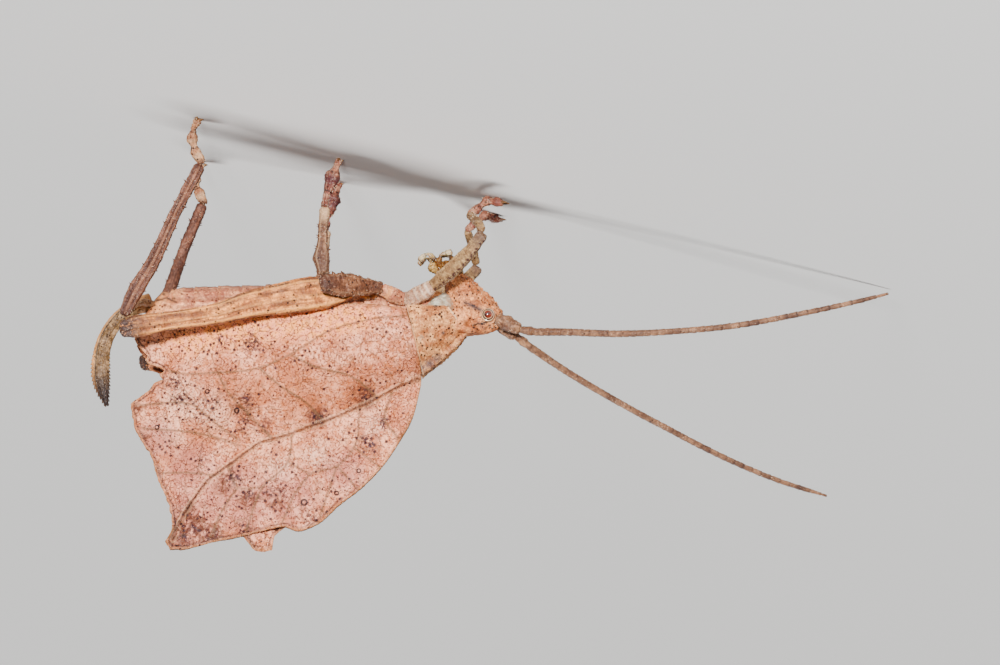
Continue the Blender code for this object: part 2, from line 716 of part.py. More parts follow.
def wing_plan(lower_margin):
    """Flat triangles of one wing, with rows of points along its margin and its veins."""
    corners = COSTAL_MARGIN + REAR_MARGIN + WING_TIP + lower_margin + LOBE_MARGIN + FRONT_MARGIN
    margin = np.array(resample(corners + corners[:1], MARGIN_STEP)[:-1])
    veins = [MIDRIB, UPPER_VEIN]
    veins += [(BRANCH_HALF_WIDTH, BRANCH_HEIGHT, line) for line in BRANCH_VEINS]
    points = [margin]
    edges = [(i, (i + 1) % len(margin)) for i in range(len(margin))]
    total = len(margin)
    closed = list(corners) + [corners[0]]
    for half_width, _, line in veins:
        for row in vein_rows(line, half_width):
            row = row[inside(row, margin) & (distance_to_line(row, closed) > MARGIN_CLEARANCE)]
            points.append(row)
            edges += [(total + i, total + i + 1) for i in range(len(row) - 1)]
            total += len(row)
    low = margin.min(axis=0)
    high = margin.max(axis=0)
    xs = np.arange(low[0], high[0], FIELD_STEP)
    zs = np.arange(low[1], high[1], FIELD_STEP)
    field = np.array([(x + (row % 2) * FIELD_STEP / 2, z) for row, z in enumerate(zs) for x in xs])
    field = field[inside(field, margin) & (distance_to_line(field, closed) > FIELD_CLEARANCE)]
    for _, _, line in veins:
        field = field[distance_to_line(field, line) > FIELD_CLEARANCE]
    points.append(field)
    flat = [Vector(p) for p in np.concatenate(points)]
    found = delaunay_2d_cdt(flat, edges, [list(range(len(margin)))], 1, MERGE_DISTANCE)
    plan = np.array([tuple(p) for p in found[0]])
    height = np.zeros(len(plan))
    for half_width, share, line in veins:
        crest = np.clip(1.0 - distance_to_line(plan, line) / half_width, 0.0, 1.0)
        height = np.maximum(height, RIDGE * share * crest)
    return plan, height, found[2]


def build_wings():
    for word, side in SIDES.items():
        lower = LEFT_LOWER_MARGIN if side == LEFT else RIGHT_LOWER_MARGIN
        plan, height, faces = wing_plan(lower)
        middle = wing_offset(plan[:, 0], plan[:, 1])
        slope = (wing_offset(plan[:, 0], plan[:, 1] + SLOPE_PROBE) - middle) / SLOPE_PROBE
        half = SHEET / 2 * np.sqrt(1.0 + slope ** 2)
        bm = bmesh.new()
        layers = []
        for offset in (middle + half + height, middle - half):
            layers.append([bm.verts.new((x, side * y, z)) for (x, z), y in zip(plan, offset)])
        outer, inner = layers
        for face in faces:
            bm.faces.new([outer[i] for i in face])
            bm.faces.new([inner[i] for i in reversed(face)])
        used = {}
        for face in faces:
            for a, b in zip(face, face[1:] + face[:1]):
                used[frozenset((a, b))] = None if frozenset((a, b)) in used else (a, b)
        for pair in used.values():
            if pair:
                a, b = pair
                bm.faces.new((outer[b], outer[a], inner[a]))
                bm.faces.new((outer[b], inner[a], inner[b]))
        loose = [vert for vert in bm.verts if not vert.link_faces]
        bmesh.ops.delete(bm, geom=loose, context="VERTS")
        wing = to_object("tegmen_" + word, bm)
        dress(wing, "wing")


# Legs

# Each run of stations is x, y, z, half depth, half thickness on the left side
FORE_LEG = {
    "coxa": ((-0.98, -2.06, -1.76, 0.38, 0.36), (-1.62, -2.42, -1.92, 0.58, 0.48),
             (-2.18, -2.86, -2.08, 0.60, 0.46)),
    "femur": ((-2.84, -3.48, -2.42, 0.52, 0.40), (-3.89, -4.95, -3.12, 0.60, 0.44),
              (-4.89, -6.30, -3.92, 0.58, 0.42), (-5.70, -7.35, -4.70, 0.48, 0.40),
              (-6.15, -7.85, -5.25, 0.50, 0.44)),
    "tibia": ((-6.24, -7.43, -6.18, 0.35, 0.35), (-6.12, -6.70, -6.62, 0.33, 0.33),
              (-5.82, -5.30, -7.24, 0.31, 0.31), (-5.58, -4.00, -7.72, 0.34, 0.33)),
    "tarsus": ((-5.72, -3.34, -8.17, 0.30, 0.29), (-6.14, -3.14, -8.50, 0.36, 0.34),
               (-6.52, -3.18, -8.82, 0.25, 0.26), (-6.96, -3.30, -9.10, 0.41, 0.38),
               (-7.28, -3.42, -9.04, 0.28, 0.29), (-7.66, -3.58, -8.97, 0.40, 0.36),
               (-8.00, -3.72, -8.86, 0.27, 0.27)),
}
MID_LEG = {
    "coxa": ((0.02, -2.05, -1.60, 0.44, 0.42), (0.50, -2.50, -1.66, 0.52, 0.46),
             (1.12, -2.97, -1.85, 0.50, 0.42)),
    "femur": ((1.88, -3.50, -2.06, 0.50, 0.38), (3.10, -4.22, -2.00, 0.75, 0.42),
              (4.30, -4.98, -2.00, 0.92, 0.45), (5.20, -5.45, -1.98, 0.88, 0.42),
              (5.85, -5.83, -1.95, 0.74, 0.46)),
    "tibia": ((6.14, -5.97, -3.20, 0.50, 0.42), (6.24, -5.87, -4.05, 0.66, 0.42),
              (6.18, -5.74, -5.00, 0.44, 0.38), (6.12, -5.50, -6.40, 0.38, 0.35),
              (6.02, -5.24, -7.70, 0.42, 0.38)),
    "tarsus": ((5.96, -5.10, -8.56, 0.32, 0.31), (5.84, -5.00, -9.30, 0.26, 0.27),
               (5.58, -4.90, -10.10, 0.50, 0.42), (5.36, -4.84, -10.85, 0.58, 0.44),
               (5.18, -4.84, -11.30, 0.30, 0.30), (4.95, -5.00, -11.90, 0.27, 0.27)),
}
HIND_LEG = {
    "coxa": ((2.40, -2.38, -1.88, 0.60, 0.45), (2.90, -2.76, -1.93, 0.65, 0.48),
             (3.42, -3.04, -1.92, 0.55, 0.42)),
    "femur": ((4.25, -3.60, -1.72, 0.70, 0.42), (5.60, -3.95, -1.62, 1.20, 0.55),
              (7.30, -4.30, -1.38, 1.36, 0.62), (9.50, -4.72, -0.92, 1.24, 0.60),
              (11.3, -5.05, -0.55, 1.12, 0.56), (14.65, -5.80, 0.48, 0.82, 0.46),
              (18.60, -6.42, 1.20, 0.76, 0.42), (20.20, -6.60, 1.50, 0.86, 0.48),
              (20.95, -6.68, 1.66, 0.84, 0.52), (21.40, -6.72, 1.78, 0.70, 0.46)),
    "tibia": ((21.42, -6.88, 0.28, 0.50, 0.42), (20.92, -7.00, -0.80, 0.60, 0.42),
              (19.40, -7.20, -3.40, 0.54, 0.40), (17.70, -7.60, -7.15, 0.46, 0.37),
              (15.95, -7.95, -10.55, 0.48, 0.40)),
    "tarsus": ((15.76, -8.05, -11.44, 0.34, 0.32), (16.08, -8.10, -12.02, 0.42, 0.38),
               (16.24, -8.16, -12.50, 0.25, 0.26), (16.38, -8.24, -13.05, 0.44, 0.40),
               (16.34, -8.38, -13.55, 0.25, 0.26), (15.98, -8.85, -14.34, 0.29, 0.29)),
}
LEGS = {"fore": FORE_LEG, "mid": MID_LEG, "hind": HIND_LEG}
# How far the right hind knee and ankle lie from the mirror image of the left ones
NO_SHIFT = (0.0, 0.0, 0.0)
KNEE_SHIFT = (-0.80, -0.90, 0.57)
ANKLE_SHIFT = (0.40, -0.90, 0.0)
RIGHT_HIND_SHIFTS = {
    "coxa": (NO_SHIFT, NO_SHIFT),
    "femur": (NO_SHIFT, KNEE_SHIFT),
    "tibia": (KNEE_SHIFT, ANKLE_SHIFT),
    "tarsus": (ANKLE_SHIFT, ANKLE_SHIFT),
}
# The tibia of the fore leg runs nearly straight inwards, so its thickness is measured along X
ACROSS = {("fore", "tibia"): (1, 0, 0)}
MID_TEETH = ((2.5, 0.30), (3.2, 0.34), (3.9, 0.38), (4.6, 0.40), (5.3, 0.36))
TOOTH_LEAN = 0.12
TOOTH_ROOT = 0.25
TOOTH_RADIUS = 0.26
# Share of the way down the tibia of each spine
SPINE_PLACES = {"mid": (0.35, 0.55, 0.75), "hind": (0.15, 0.3, 0.45, 0.6, 0.75, 0.9)}
SPINE_REACH = 0.24
SPINE_RADIUS = 0.15
CLAW_REACH = 0.55
CLAW_SPREAD = 0.35
CLAW_ROOT_SPREAD = 0.09
CLAW_RADIUS = 0.20
CLAW_FLATTENING = 0.3


def swung(stations, part):
    """The stations of the right hind leg, its knee swung outwards and up."""
    start, end = [Vector(shift) for shift in RIGHT_HIND_SHIFTS[part]]
    first, last = Vector(stations[0][:3]), Vector(stations[-1][:3])
    along = last - first
    moved = []
    for station in stations:
        point = Vector(station[:3])
        share = (point - first).dot(along) / along.length_squared
        moved.append((*(point + start.lerp(end, share)), *station[3:]))
    return moved


def femur_teeth(stations, marks, side):
    """Triangular teeth along the lower edge of a femur, at the given x with the given reach."""
    xs = [s[0] for s in stations]
    teeth = []
    for x, reach in marks:
        y, z, depth = [float(np.interp(x, xs, [s[i] for s in stations])) for i in (1, 2, 3)]
        root = mirrored((x - TOOTH_LEAN, y, z - depth + TOOTH_ROOT), side)
        tip = mirrored((x + TOOTH_LEAN, y, z - depth - reach), side)
        teeth.append(spike(root, tip, TOOTH_RADIUS))
    return teeth


def tibia_spines(stations, places, side):
    """Short spines down the front and rear edges of a tibia, leaning towards the foot."""
    share = np.linspace(0.0, 1.0, len(stations))
    along = (Vector(stations[-1][:3]) - Vector(stations[0][:3])).normalized()
    forward = Vector((along.z, 0.0, -along.x)).normalized()
    spines = []
    for place in places:
        x, y, z, depth = [float(np.interp(place, share, [s[i] for s in stations])) for i in range(4)]
        centre = Vector((x, y, z))
        for hand in (-1.0, 1.0):
            root = centre + forward * (hand * depth * 0.5)
            tip = centre + forward * (hand * (depth + SPINE_REACH)) + along * SPINE_REACH
            spines.append(spike(mirrored(root, side), mirrored(tip, side), SPINE_RADIUS))
    return spines


def claws(stations, side):
    """The two claws past the last joint of a foot."""
    last = Vector(stations[-1][:3])
    ahead = (last - Vector(stations[-2][:3])).normalized()
    flat = Vector((ahead.x, ahead.y, ahead.z * CLAW_FLATTENING)).normalized()
    sideways = flat.cross(Vector((0, 0, 1))).normalized()
    pair = []
    for hand in (-1.0, 1.0):
        tip = last + flat * CLAW_REACH + sideways * (hand * CLAW_SPREAD)
        root = last + sideways * (hand * CLAW_ROOT_SPREAD)
        pair.append(spike(mirrored(root, side), mirrored(tip, side), CLAW_RADIUS))
    return pair


def build_legs():
    for pair, lengths in LEGS.items():
        for word, side in SIDES.items():
            for part, stations in lengths.items():
                if pair == "hind" and side == RIGHT:
                    stations = swung(stations, part)
                placed = [mirrored(s, side) for s in stations]
                across = ACROSS.get((pair, part), (0, 1, 0))
                piece = limb(f"{pair}_{part}_{word}", placed, sides=10, across=across)
                if part == "tarsus":
                    fuse(piece, claws(stations, side))
                if pair == "mid" and part == "femur":
                    fuse(piece, femur_teeth(stations, MID_TEETH, side))
                if part == "tibia" and pair in SPINE_PLACES:
                    fuse(piece, tibia_spines(stations, SPINE_PLACES[pair], side))
                dress(piece, "leg")


# Stance

def stand(objects):
    """Tip and lift every piece, press the feet flat on the floor and centre the whole on it."""
    for obj in objects:
        obj.data.transform(STANCE)
        for vert in obj.data.vertices:
            vert.co.z = max(vert.co.z, 0.0)
    every = np.array([tuple(v.co) for obj in objects for v in obj.data.vertices])
    centre = (every.min(axis=0) + every.max(axis=0)) / 2
    for obj in objects:
        obj.data.transform(Matrix.Translation((-centre[0], -centre[1], 0.0)))
        obj.data.update()
        obj.data.shade_smooth()
        obj.data.set_sharp_from_angle(angle=SHARP_ANGLE)


def main():
    build_head()
    build_eyes()
    build_antennae()
    build_mouthparts()
    build_pronotum()
    build_thorax()
    build_abdomen()
    build_cerci()
    build_ovipositor()
    build_wings()
    build_legs()
    stand(list(PARTS.objects))


main()
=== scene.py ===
"""Looks of the leaf-mimic katydid (Typophyllum laciniosum), a female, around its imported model.

Places and sizes are millimetres in the insect's own frame: the head looks towards -X, +Z is the
back and the left side lies at -Y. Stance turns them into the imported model's frame, in metres.
Every surface is worked out as a grid of numpy arrays and closed at its two poles.
"""

import logging
import math
from dataclasses import dataclass, field
from enum import Enum
from functools import cache

import bpy
import numpy as np
from mathutils import Matrix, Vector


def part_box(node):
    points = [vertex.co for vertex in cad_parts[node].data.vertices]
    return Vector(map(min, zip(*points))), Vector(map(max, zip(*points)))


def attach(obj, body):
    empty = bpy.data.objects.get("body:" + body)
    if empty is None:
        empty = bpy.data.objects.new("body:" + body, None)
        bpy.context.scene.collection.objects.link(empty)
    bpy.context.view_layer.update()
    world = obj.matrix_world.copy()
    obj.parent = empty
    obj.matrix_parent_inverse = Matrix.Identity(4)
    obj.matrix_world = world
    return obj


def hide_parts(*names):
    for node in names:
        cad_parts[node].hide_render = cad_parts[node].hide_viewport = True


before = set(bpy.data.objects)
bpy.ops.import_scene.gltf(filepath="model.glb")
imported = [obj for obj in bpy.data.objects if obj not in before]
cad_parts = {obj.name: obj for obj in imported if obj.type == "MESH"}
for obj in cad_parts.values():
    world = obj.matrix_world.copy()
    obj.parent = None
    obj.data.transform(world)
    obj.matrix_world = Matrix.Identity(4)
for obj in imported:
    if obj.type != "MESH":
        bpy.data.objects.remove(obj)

Array = np.ndarray
Colour = tuple[float, float, float]
LOG = logging.getLogger("katydid")

# What the whole insect is worked out from
MM = 0.001
BODY_PITCH = math.radians(12.5)
EYE_CENTRE = (-6.98, -1.60, -0.16)
EYE_RADIUS = 0.55
LEFT, RIGHT = -1.0, 1.0
# How deep light goes into skin and wing, in metres
GLOW_DEPTH = 0.3 * MM
# How far the photo shows a place in x and z for each millimetre that it lies behind the nearest flank
SEEN_SHIFT = (0.034, 0.155)
SIDES = {"left": LEFT, "right": RIGHT}
FEELER_ROOT = (-7.78, -0.78, 0.02)
# A hair's root below the skin, its lean along the path and at random, its length's range and its radius
HAIR_DEPTH = 0.01
HAIR_LEAN, HAIR_SCATTER = 0.7, 0.35
HAIR_LENGTHS = (0.6, 1.3)
HAIR_RADII = (0.014, 0.024)


# Shapes in numpy

def unit(vectors: Array) -> Array:
    """Vectors of length 1."""
    return vectors / np.maximum(np.linalg.norm(vectors, axis=-1, keepdims=True), 1e-12)


def spline(knots: Array, count: int) -> Array:
    """A smooth curve through knots, each piece a cubic between two knots.

    The slope at a knot is the mean of the slopes on its two sides, weighted by how near each is.

    Args:
        knots: Rows of numbers, the first three of which are a place.
        count: How many rows to return, at even steps of length.

    Returns:
        Rows like the knots.
    """
    gaps = np.linalg.norm(np.diff(knots[:, :3], axis=0), axis=1)
    starts = np.concatenate([[0.0], np.cumsum(gaps)])
    slopes = np.diff(knots, axis=0) / gaps[:, None]
    near, far = gaps[:-1, None], gaps[1:, None]
    inner = (slopes[:-1] * far + slopes[1:] * near) / (near + far)
    tangents = np.concatenate([slopes[:1], inner, slopes[-1:]])
    at = np.linspace(0.0, starts[-1], count)
    piece = np.clip(np.searchsorted(starts, at, side="right") - 1, 0, len(gaps) - 1)
    length = gaps[piece][:, None]
    t = (at - starts[piece])[:, None] / length
    return ((2 * t**3 - 3 * t**2 + 1) * knots[piece] + (t**3 - 2 * t**2 + t) * length * tangents[piece]
            + (3 * t**2 - 2 * t**3) * knots[piece + 1] + (t**3 - t**2) * length * tangents[piece + 1])


def closed_outline(corners: Array, count: int, softness: float = 0.5) -> Array:
    """A closed outline through corners, round where they turn little and crisp where they turn much.

    Each run between two corners is a cubic. The slope at a corner is that of the line between its
    neighbours, times a share that falls to 0 as the corner gets sharper.

    Args:
        corners: Rows of two numbers.
        count: How many points to return, at even steps of length.
        softness: Cosine of the turn below which a corner is crisp.

    Returns:
        Rows of two numbers.
    """
    before, after = corners - np.roll(corners, 1, axis=0), np.roll(corners, -1, axis=0) - corners
    cosine = np.sum(unit(before) * unit(after), axis=1)
    ease = np.clip((cosine - softness) / (1.0 - softness), 0.0, 1.0) ** 0.5
    tangents = unit(unit(before) + unit(after)) * ease[:, None]
    length = np.linalg.norm(after, axis=1)[:, None, None]
    t = np.linspace(0.0, 1.0, 24, endpoint=False)[None, :, None]
    start, end = corners[:, None], np.roll(corners, -1, axis=0)[:, None]
    leave, arrive = tangents[:, None], np.roll(tangents, -1, axis=0)[:, None]
    dense = ((2 * t**3 - 3 * t**2 + 1) * start + (t**3 - 2 * t**2 + t) * length * leave
             + (3 * t**2 - 2 * t**3) * end + (t**3 - t**2) * length * arrive).reshape(-1, 2)
    dense = np.concatenate([dense, dense[:1]])
    reach = np.concatenate([[0.0], np.cumsum(np.linalg.norm(np.diff(dense, axis=0), axis=1))])
    at = np.linspace(0.0, reach[-1], count, endpoint=False)
    return np.stack([np.interp(at, reach, dense[:, i]) for i in (0, 1)], axis=1)


def distance(points: Array, course: Array) -> Array:
    """Shortest distance from each point to a line of straight runs.

    Args:
        points: Places, in the last axis.
        course: The line's corners, one a row.

    Returns:
        One distance a point.
    """
    best = np.full(points.shape[:-1], np.inf)
    for start, end in zip(course[:-1], course[1:]):
        run = end - start
        share = np.clip((points - start) @ run / (run @ run), 0.0, 1.0)
        best = np.minimum(best, np.linalg.norm(points - start - share[..., None] * run, axis=-1))
    return best


def hump(away: Array, width: float) -> Array:
    """1 at no distance and 0 at the width on either side: 1 less the squared share of the width, squared."""
    return np.clip(1.0 - (away / width) ** 2, 0.0, 1.0) ** 2


def ripple(points: Array, wavelength: float, seed: int, waves: int = 9) -> Array:
    """Smooth, seeded unevenness about 0: the sum of sines along random directions, scaled to about 1.

    Args:
        points: Places, in the last axis.
        wavelength: The mean distance between crests.
        seed: Picks the directions, lengths and phases.
        waves: How many sines.

    Returns:
        One value a point.
    """
    dice = np.random.default_rng(seed)
    rates = unit(dice.normal(size=(waves, points.shape[-1])))
    rates = rates * (2 * math.pi / wavelength * dice.uniform(0.7, 1.5, waves))[:, None]
    return np.sin(points @ rates.T + dice.uniform(0.0, 2 * math.pi, waves)).sum(-1) / math.sqrt(waves)


def dots(plan: Array, places: tuple[tuple[float, float, float], ...]) -> Array:
    """Round marks with soft rims, each a hump about its place.

    Args:
        plan: Places of two numbers, in the last axis.
        places: Two numbers and a radius for each mark.

    Returns:
        The strongest mark at each place, 0 to 1.
    """
    found = np.zeros(plan.shape[:-1])
    for first, second, radius in places:
        away = np.hypot(plan[..., 0] - first, plan[..., 1] - second)
        found = np.maximum(found, hump(away, radius))
    return found


@dataclass
class Surface:
    """Points, the faces over them, named values at the points, and hairs.

    A row of hairs holds a base, a tip, a place on the unwrapped skin, and a radius.
    """

    points: Array
    quads: Array
    triangles: Array
    marks: dict[str, Array]
    hairs: Array = field(default_factory=lambda: np.zeros((0, 9)))

    def mirrored(self) -> "Surface":
        """The same surface on the insect's other side, its faces still outwards.

        Returns:
            The surface.
        """
        flip = np.array((1.0, -1.0, 1.0))
        hairs = self.hairs * np.concatenate([flip, flip, np.ones(3)])
        return Surface(self.points * flip, self.quads[:, ::-1], self.triangles[:, ::-1], self.marks, hairs)

    def on(self, side: float) -> "Surface":
        """This surface, made on the left, on the given side."""
        return self if side == LEFT else self.mirrored()


def joined(parts: list[Surface]) -> Surface:
    """Several surfaces as one, a mark that one of them lacks being 0 there.

    Args:
        parts: The surfaces, in order.

    Returns:
        The one surface.
    """
    starts = np.cumsum([0] + [len(part.points) for part in parts])
    names = {name: values.shape[1:] for part in parts for name, values in part.marks.items()}
    marks = {}
    for name, shape in names.items():
        marks[name] = np.concatenate([part.marks.get(name, np.zeros((len(part.points), *shape)))
                                      for part in parts])
    return Surface(np.concatenate([part.points for part in parts]),
                   np.concatenate([part.quads + start for part, start in zip(parts, starts)]),
                   np.concatenate([part.triangles + start for part, start in zip(parts, starts)]), marks,
                   np.concatenate([part.hairs for part in parts]))


class Grid:
    """Rings of points carried along a path.

    points is rings by places round by 3. lie has each point's distance along, across and up from
    the path. share runs from 0 to 1 along it, and turn is the angle round it, a quarter turn being up.
    """

    def __init__(self, points: Array, lie: Array) -> None:
        """Keeps the points and works out the share and the turn.

        Args:
            points: Rings by places round by 3.
            lie: Distances along, across and up from the path, in the same order.
        """
        self.points = points
        self.lie = lie
        self.share = np.linspace(0.0, 1.0, points.shape[0])[:, None]
        self.turn = np.linspace(0.0, 2 * math.pi, points.shape[1], endpoint=False)[None, :]

    def normals(self) -> Array:
        """Outward directions: the step round the ring crossed with the step along the path."""
        round_step = np.roll(self.points, -1, axis=1) - np.roll(self.points, 1, axis=1)
        return unit(np.cross(round_step, np.gradient(self.points, axis=0)))

    def push(self, height: Array | float) -> "Grid":
        """Moves each point outwards.

        Args:
            height: How far, one number or one for each place.

        Returns:
            The grid itself.
        """
        lift = np.broadcast_to(height, self.points.shape[:2])[..., None]
        self.points = self.points + self.normals() * lift
        return self

    def left(self) -> Array:
        """The points, those on the right side brought over to the left."""
        x, y, z = np.moveaxis(self.points, -1, 0)
        return np.stack([x, -np.abs(y), z], axis=-1)

    def ridge(self, degrees: float, half_width: float) -> Array:
        """A hump along the path at one angle round it, 1 on its crest, its half width in degrees."""
        away = np.degrees(np.abs((self.turn - math.radians(degrees) + math.pi) % (2 * math.pi) - math.pi))
        return np.broadcast_to(hump(away, half_width), self.points.shape[:2])

    def band(self, centre: float, half_width: float) -> Array:
        """A hump round the path at one share of its length."""
        return np.broadcast_to(hump(self.share - centre, half_width), self.points.shape[:2])

    def strongest(self, layers: list[Array]) -> Array:
        """The strongest of some layers at each place, and 0 where there are none."""
        return np.maximum.reduce([np.zeros(self.points.shape[:2]), *layers])

    def bands(self, rows: tuple) -> list[Array]:
        """One layer for each row of share of the length, half width and strength."""
        return [strength * self.band(centre, half_width) for centre, half_width, strength in rows]

    def ridges(self, rows: tuple) -> list[Array]:
        """One layer for each row of angle, half width in degrees and strength."""
        return [strength * self.ridge(degrees, half_width) for degrees, half_width, strength in rows]

    def hairs(self, count: int, length: float, seed: int, where: Array | float = 1.0) -> Array:
        """Short hairs that lean along the path.

        Args:
            count: How many.
            length: Their mean length.
            seed: Picks their places and lean.
            where: How thickly they stand, by place.

        Returns:
            Rows as a surface holds them.
        """
        dice = np.random.default_rng(seed)
        along, beside = np.gradient(self.points, axis=0), np.roll(self.points, -1, axis=1) - self.points
        weight = np.linalg.norm(np.cross(along, beside), axis=-1) * where
        chosen = dice.choice(weight.size, count, p=(weight / weight.sum()).ravel())
        row, column = np.divmod(chosen, weight.shape[1])
        normal = self.normals()[row, column]
        base = self.points[row, column] - normal * HAIR_DEPTH
        lean = HAIR_LEAN * unit(along[row, column])
        way = unit(normal + lean + HAIR_SCATTER * dice.normal(size=(count, 3)))
        tip = base + way * length * dice.uniform(*HAIR_LENGTHS, (count, 1))
        return np.column_stack([base, tip, column / weight.shape[1], row / weight.shape[0],
                                dice.uniform(*HAIR_RADII, count)])

    def surface(self, hairs: Array | None = None, **marks: Array) -> Surface:
        """The closed surface over the rings, drawn in to the mean of each end ring.

        Args:
            hairs: Its hairs, if any.
            marks: Named values, one for each place of the grid.

        Returns:
            The surface, with the lie among its marks.
        """
        rings, around = self.points.shape[:2]
        index = np.arange(rings * around).reshape(rings, around)
        after = np.roll(index, -1, axis=1)
        quads = np.stack([index[:-1], after[:-1], after[1:], index[1:]], axis=-1).reshape(-1, 4)
        first, last = np.full(around, rings * around), np.full(around, rings * around + 1)
        triangles = np.concatenate([np.stack([first, after[0], index[0]], axis=1),
                                    np.stack([index[-1], after[-1], last], axis=1)])

        def with_poles(values: Array) -> Array:
            """Values one a point, followed by their means round the first and the last ring."""
            flat = values.reshape(rings * around, *values.shape[2:])
            return np.concatenate([flat, values[:1].mean(axis=1), values[-1:].mean(axis=1)])

        whole = {name: np.broadcast_to(values, (rings, around)) for name, values in marks.items()}
        marks = {name: with_poles(values) for name, values in whole.items()}
        marks["lie"] = with_poles(self.lie)
        coat = np.zeros((0, 9)) if hairs is None else hairs
        return Surface(with_poles(self.points), quads, triangles, marks, coat)


def seen_places(left: Array, flank: float) -> Array:
    """Places of the left side as the photo shows them in x and z, moved by their depth behind the flank."""
    return left[..., [0, 2]] + np.array(SEEN_SHIFT) * (left[..., 1:2] + flank)


def midline(rows: tuple) -> list[tuple[float, ...]]:
    """Stations in the midplane, from rows of x, z, half depth and half width."""
    return [(x, 0.0, z, depth, width) for x, z, depth, width in rows]


def round_stations(rows: tuple) -> list[tuple[float, ...]]:
    """Stations of a round tube, from rows of x, y, z and radius."""
    return [(x, y, z, radius, radius) for x, y, z, radius in rows]


def loft(stations: Array, rings: int, around: int, power: float = 2.0,
         blunt: tuple[float, float] = (0.8, 0.8), across: tuple[float, float, float] = (0.0, 1.0, 0.0),
         caps: int = 6) -> Grid:
    """A tube along a smooth curve through stations, with rounded ends.

    A ring is a superellipse: across it goes the half thickness times the cosine of the angle to the
    power 2 / power, and up it the half depth times the sine to that power. Past each end station the
    rings shrink as a quarter circle of blunt times the smaller half size.

    Args:
        stations: Rows of x, y, z, half depth and half thickness.
        rings: Rings between the end stations.
        around: Points in a ring.
        power: 2 for an ellipse, more for a boxier ring.
        blunt: Roundness of the first and the last end.
        across: The direction in which the thickness lies.
        caps: Rings in each rounded end.

    Returns:
        The grid.
    """
    run = spline(np.asarray(stations, float), rings)
    bend = np.linspace(0.0, math.pi / 2, caps + 2)[1:-1]
    along = unit(np.gradient(run[:, :3], axis=0))
    length = np.concatenate([[0.0], np.cumsum(np.linalg.norm(np.diff(run[:, :3], axis=0), axis=1))])
    ends = []
    for row, blunting, outward in ((0, blunt[0], -1.0), (-1, blunt[1], 1.0)):
        reach = outward * blunting * run[row, 3:5].min() * np.sin(bend)
        centres = run[row, :3] + along[row] * reach[:, None]
        sizes = run[row, 3:5] * np.cos(bend)[:, None]
        ends.append((centres, sizes, np.repeat(along[row][None], caps, axis=0), length[row] + reach))
    start, finish = [[part[::-1] for part in ends[0]], ends[1]]
    centres, sizes, along, length = [np.concatenate(parts) for parts in
                                     zip(start, (run[:, :3], run[:, 3:5], along, length), finish)]
    side = unit(np.array(across) - along * (along @ np.array(across))[:, None])
    up = np.cross(along, side)
    turn = np.linspace(0.0, 2 * math.pi, around, endpoint=False)
    ring = np.stack([np.cos(turn), np.sin(turn)])
    ring = np.sign(ring) * np.abs(ring) ** (2 / power)
    out, rise = sizes[:, 1:] * ring[0], sizes[:, :1] * ring[1]
    points = centres[:, None] + side[:, None] * out[..., None] + up[:, None] * rise[..., None]
    return Grid(points, np.stack([np.broadcast_to(length[:, None], out.shape), out, rise], axis=-1))


def thorns(bases: Array, tips: Array, radii: Array, sides: int = 6) -> Surface:
    """Many small cones, each a ring about its base, a narrower ring part way and a point.

    Args:
        bases: Where each starts, one a row.
        tips: Where each ends.
        radii: The radius of each at its base.
        sides: Points in a ring.

    Returns:
        All of them as one surface.
    """
    along = unit(tips - bases)
    hint = np.where(np.abs(along[:, 2:]) < 0.9, (0.0, 0.0, 1.0), (1.0, 0.0, 0.0))
    side = unit(np.cross(along, hint))
    up = np.cross(along, side)
    turn = np.linspace(0.0, 2 * math.pi, sides, endpoint=False)
    ring = side[:, None] * np.cos(turn)[:, None] + up[:, None] * np.sin(turn)[:, None]
    rings = [bases[:, None] + (tips - bases)[:, None] * share + ring * (radii[:, None, None] * size)
             for share, size in ((0.0, 1.0), (0.55, 0.6))]
    points = np.concatenate([*rings, tips[:, None], bases[:, None]], axis=1)
    each = points.shape[1]
    here = np.arange(sides)
    after = np.roll(here, -1)
    quads = np.stack([here, after, after + sides, here + sides], axis=1)
    triangles = np.concatenate([np.stack([here + sides, after + sides, np.full(sides, 2 * sides)], axis=1),
                                np.stack([after, here, np.full(sides, 2 * sides + 1)], axis=1)])
    starts = (np.arange(len(bases)) * each)[:, None, None]
    flat = points.reshape(-1, 3)
    return Surface(flat, (quads + starts).reshape(-1, 4), (triangles + starts).reshape(-1, 3), {"lie": flat})


# Shader node groups and finishes

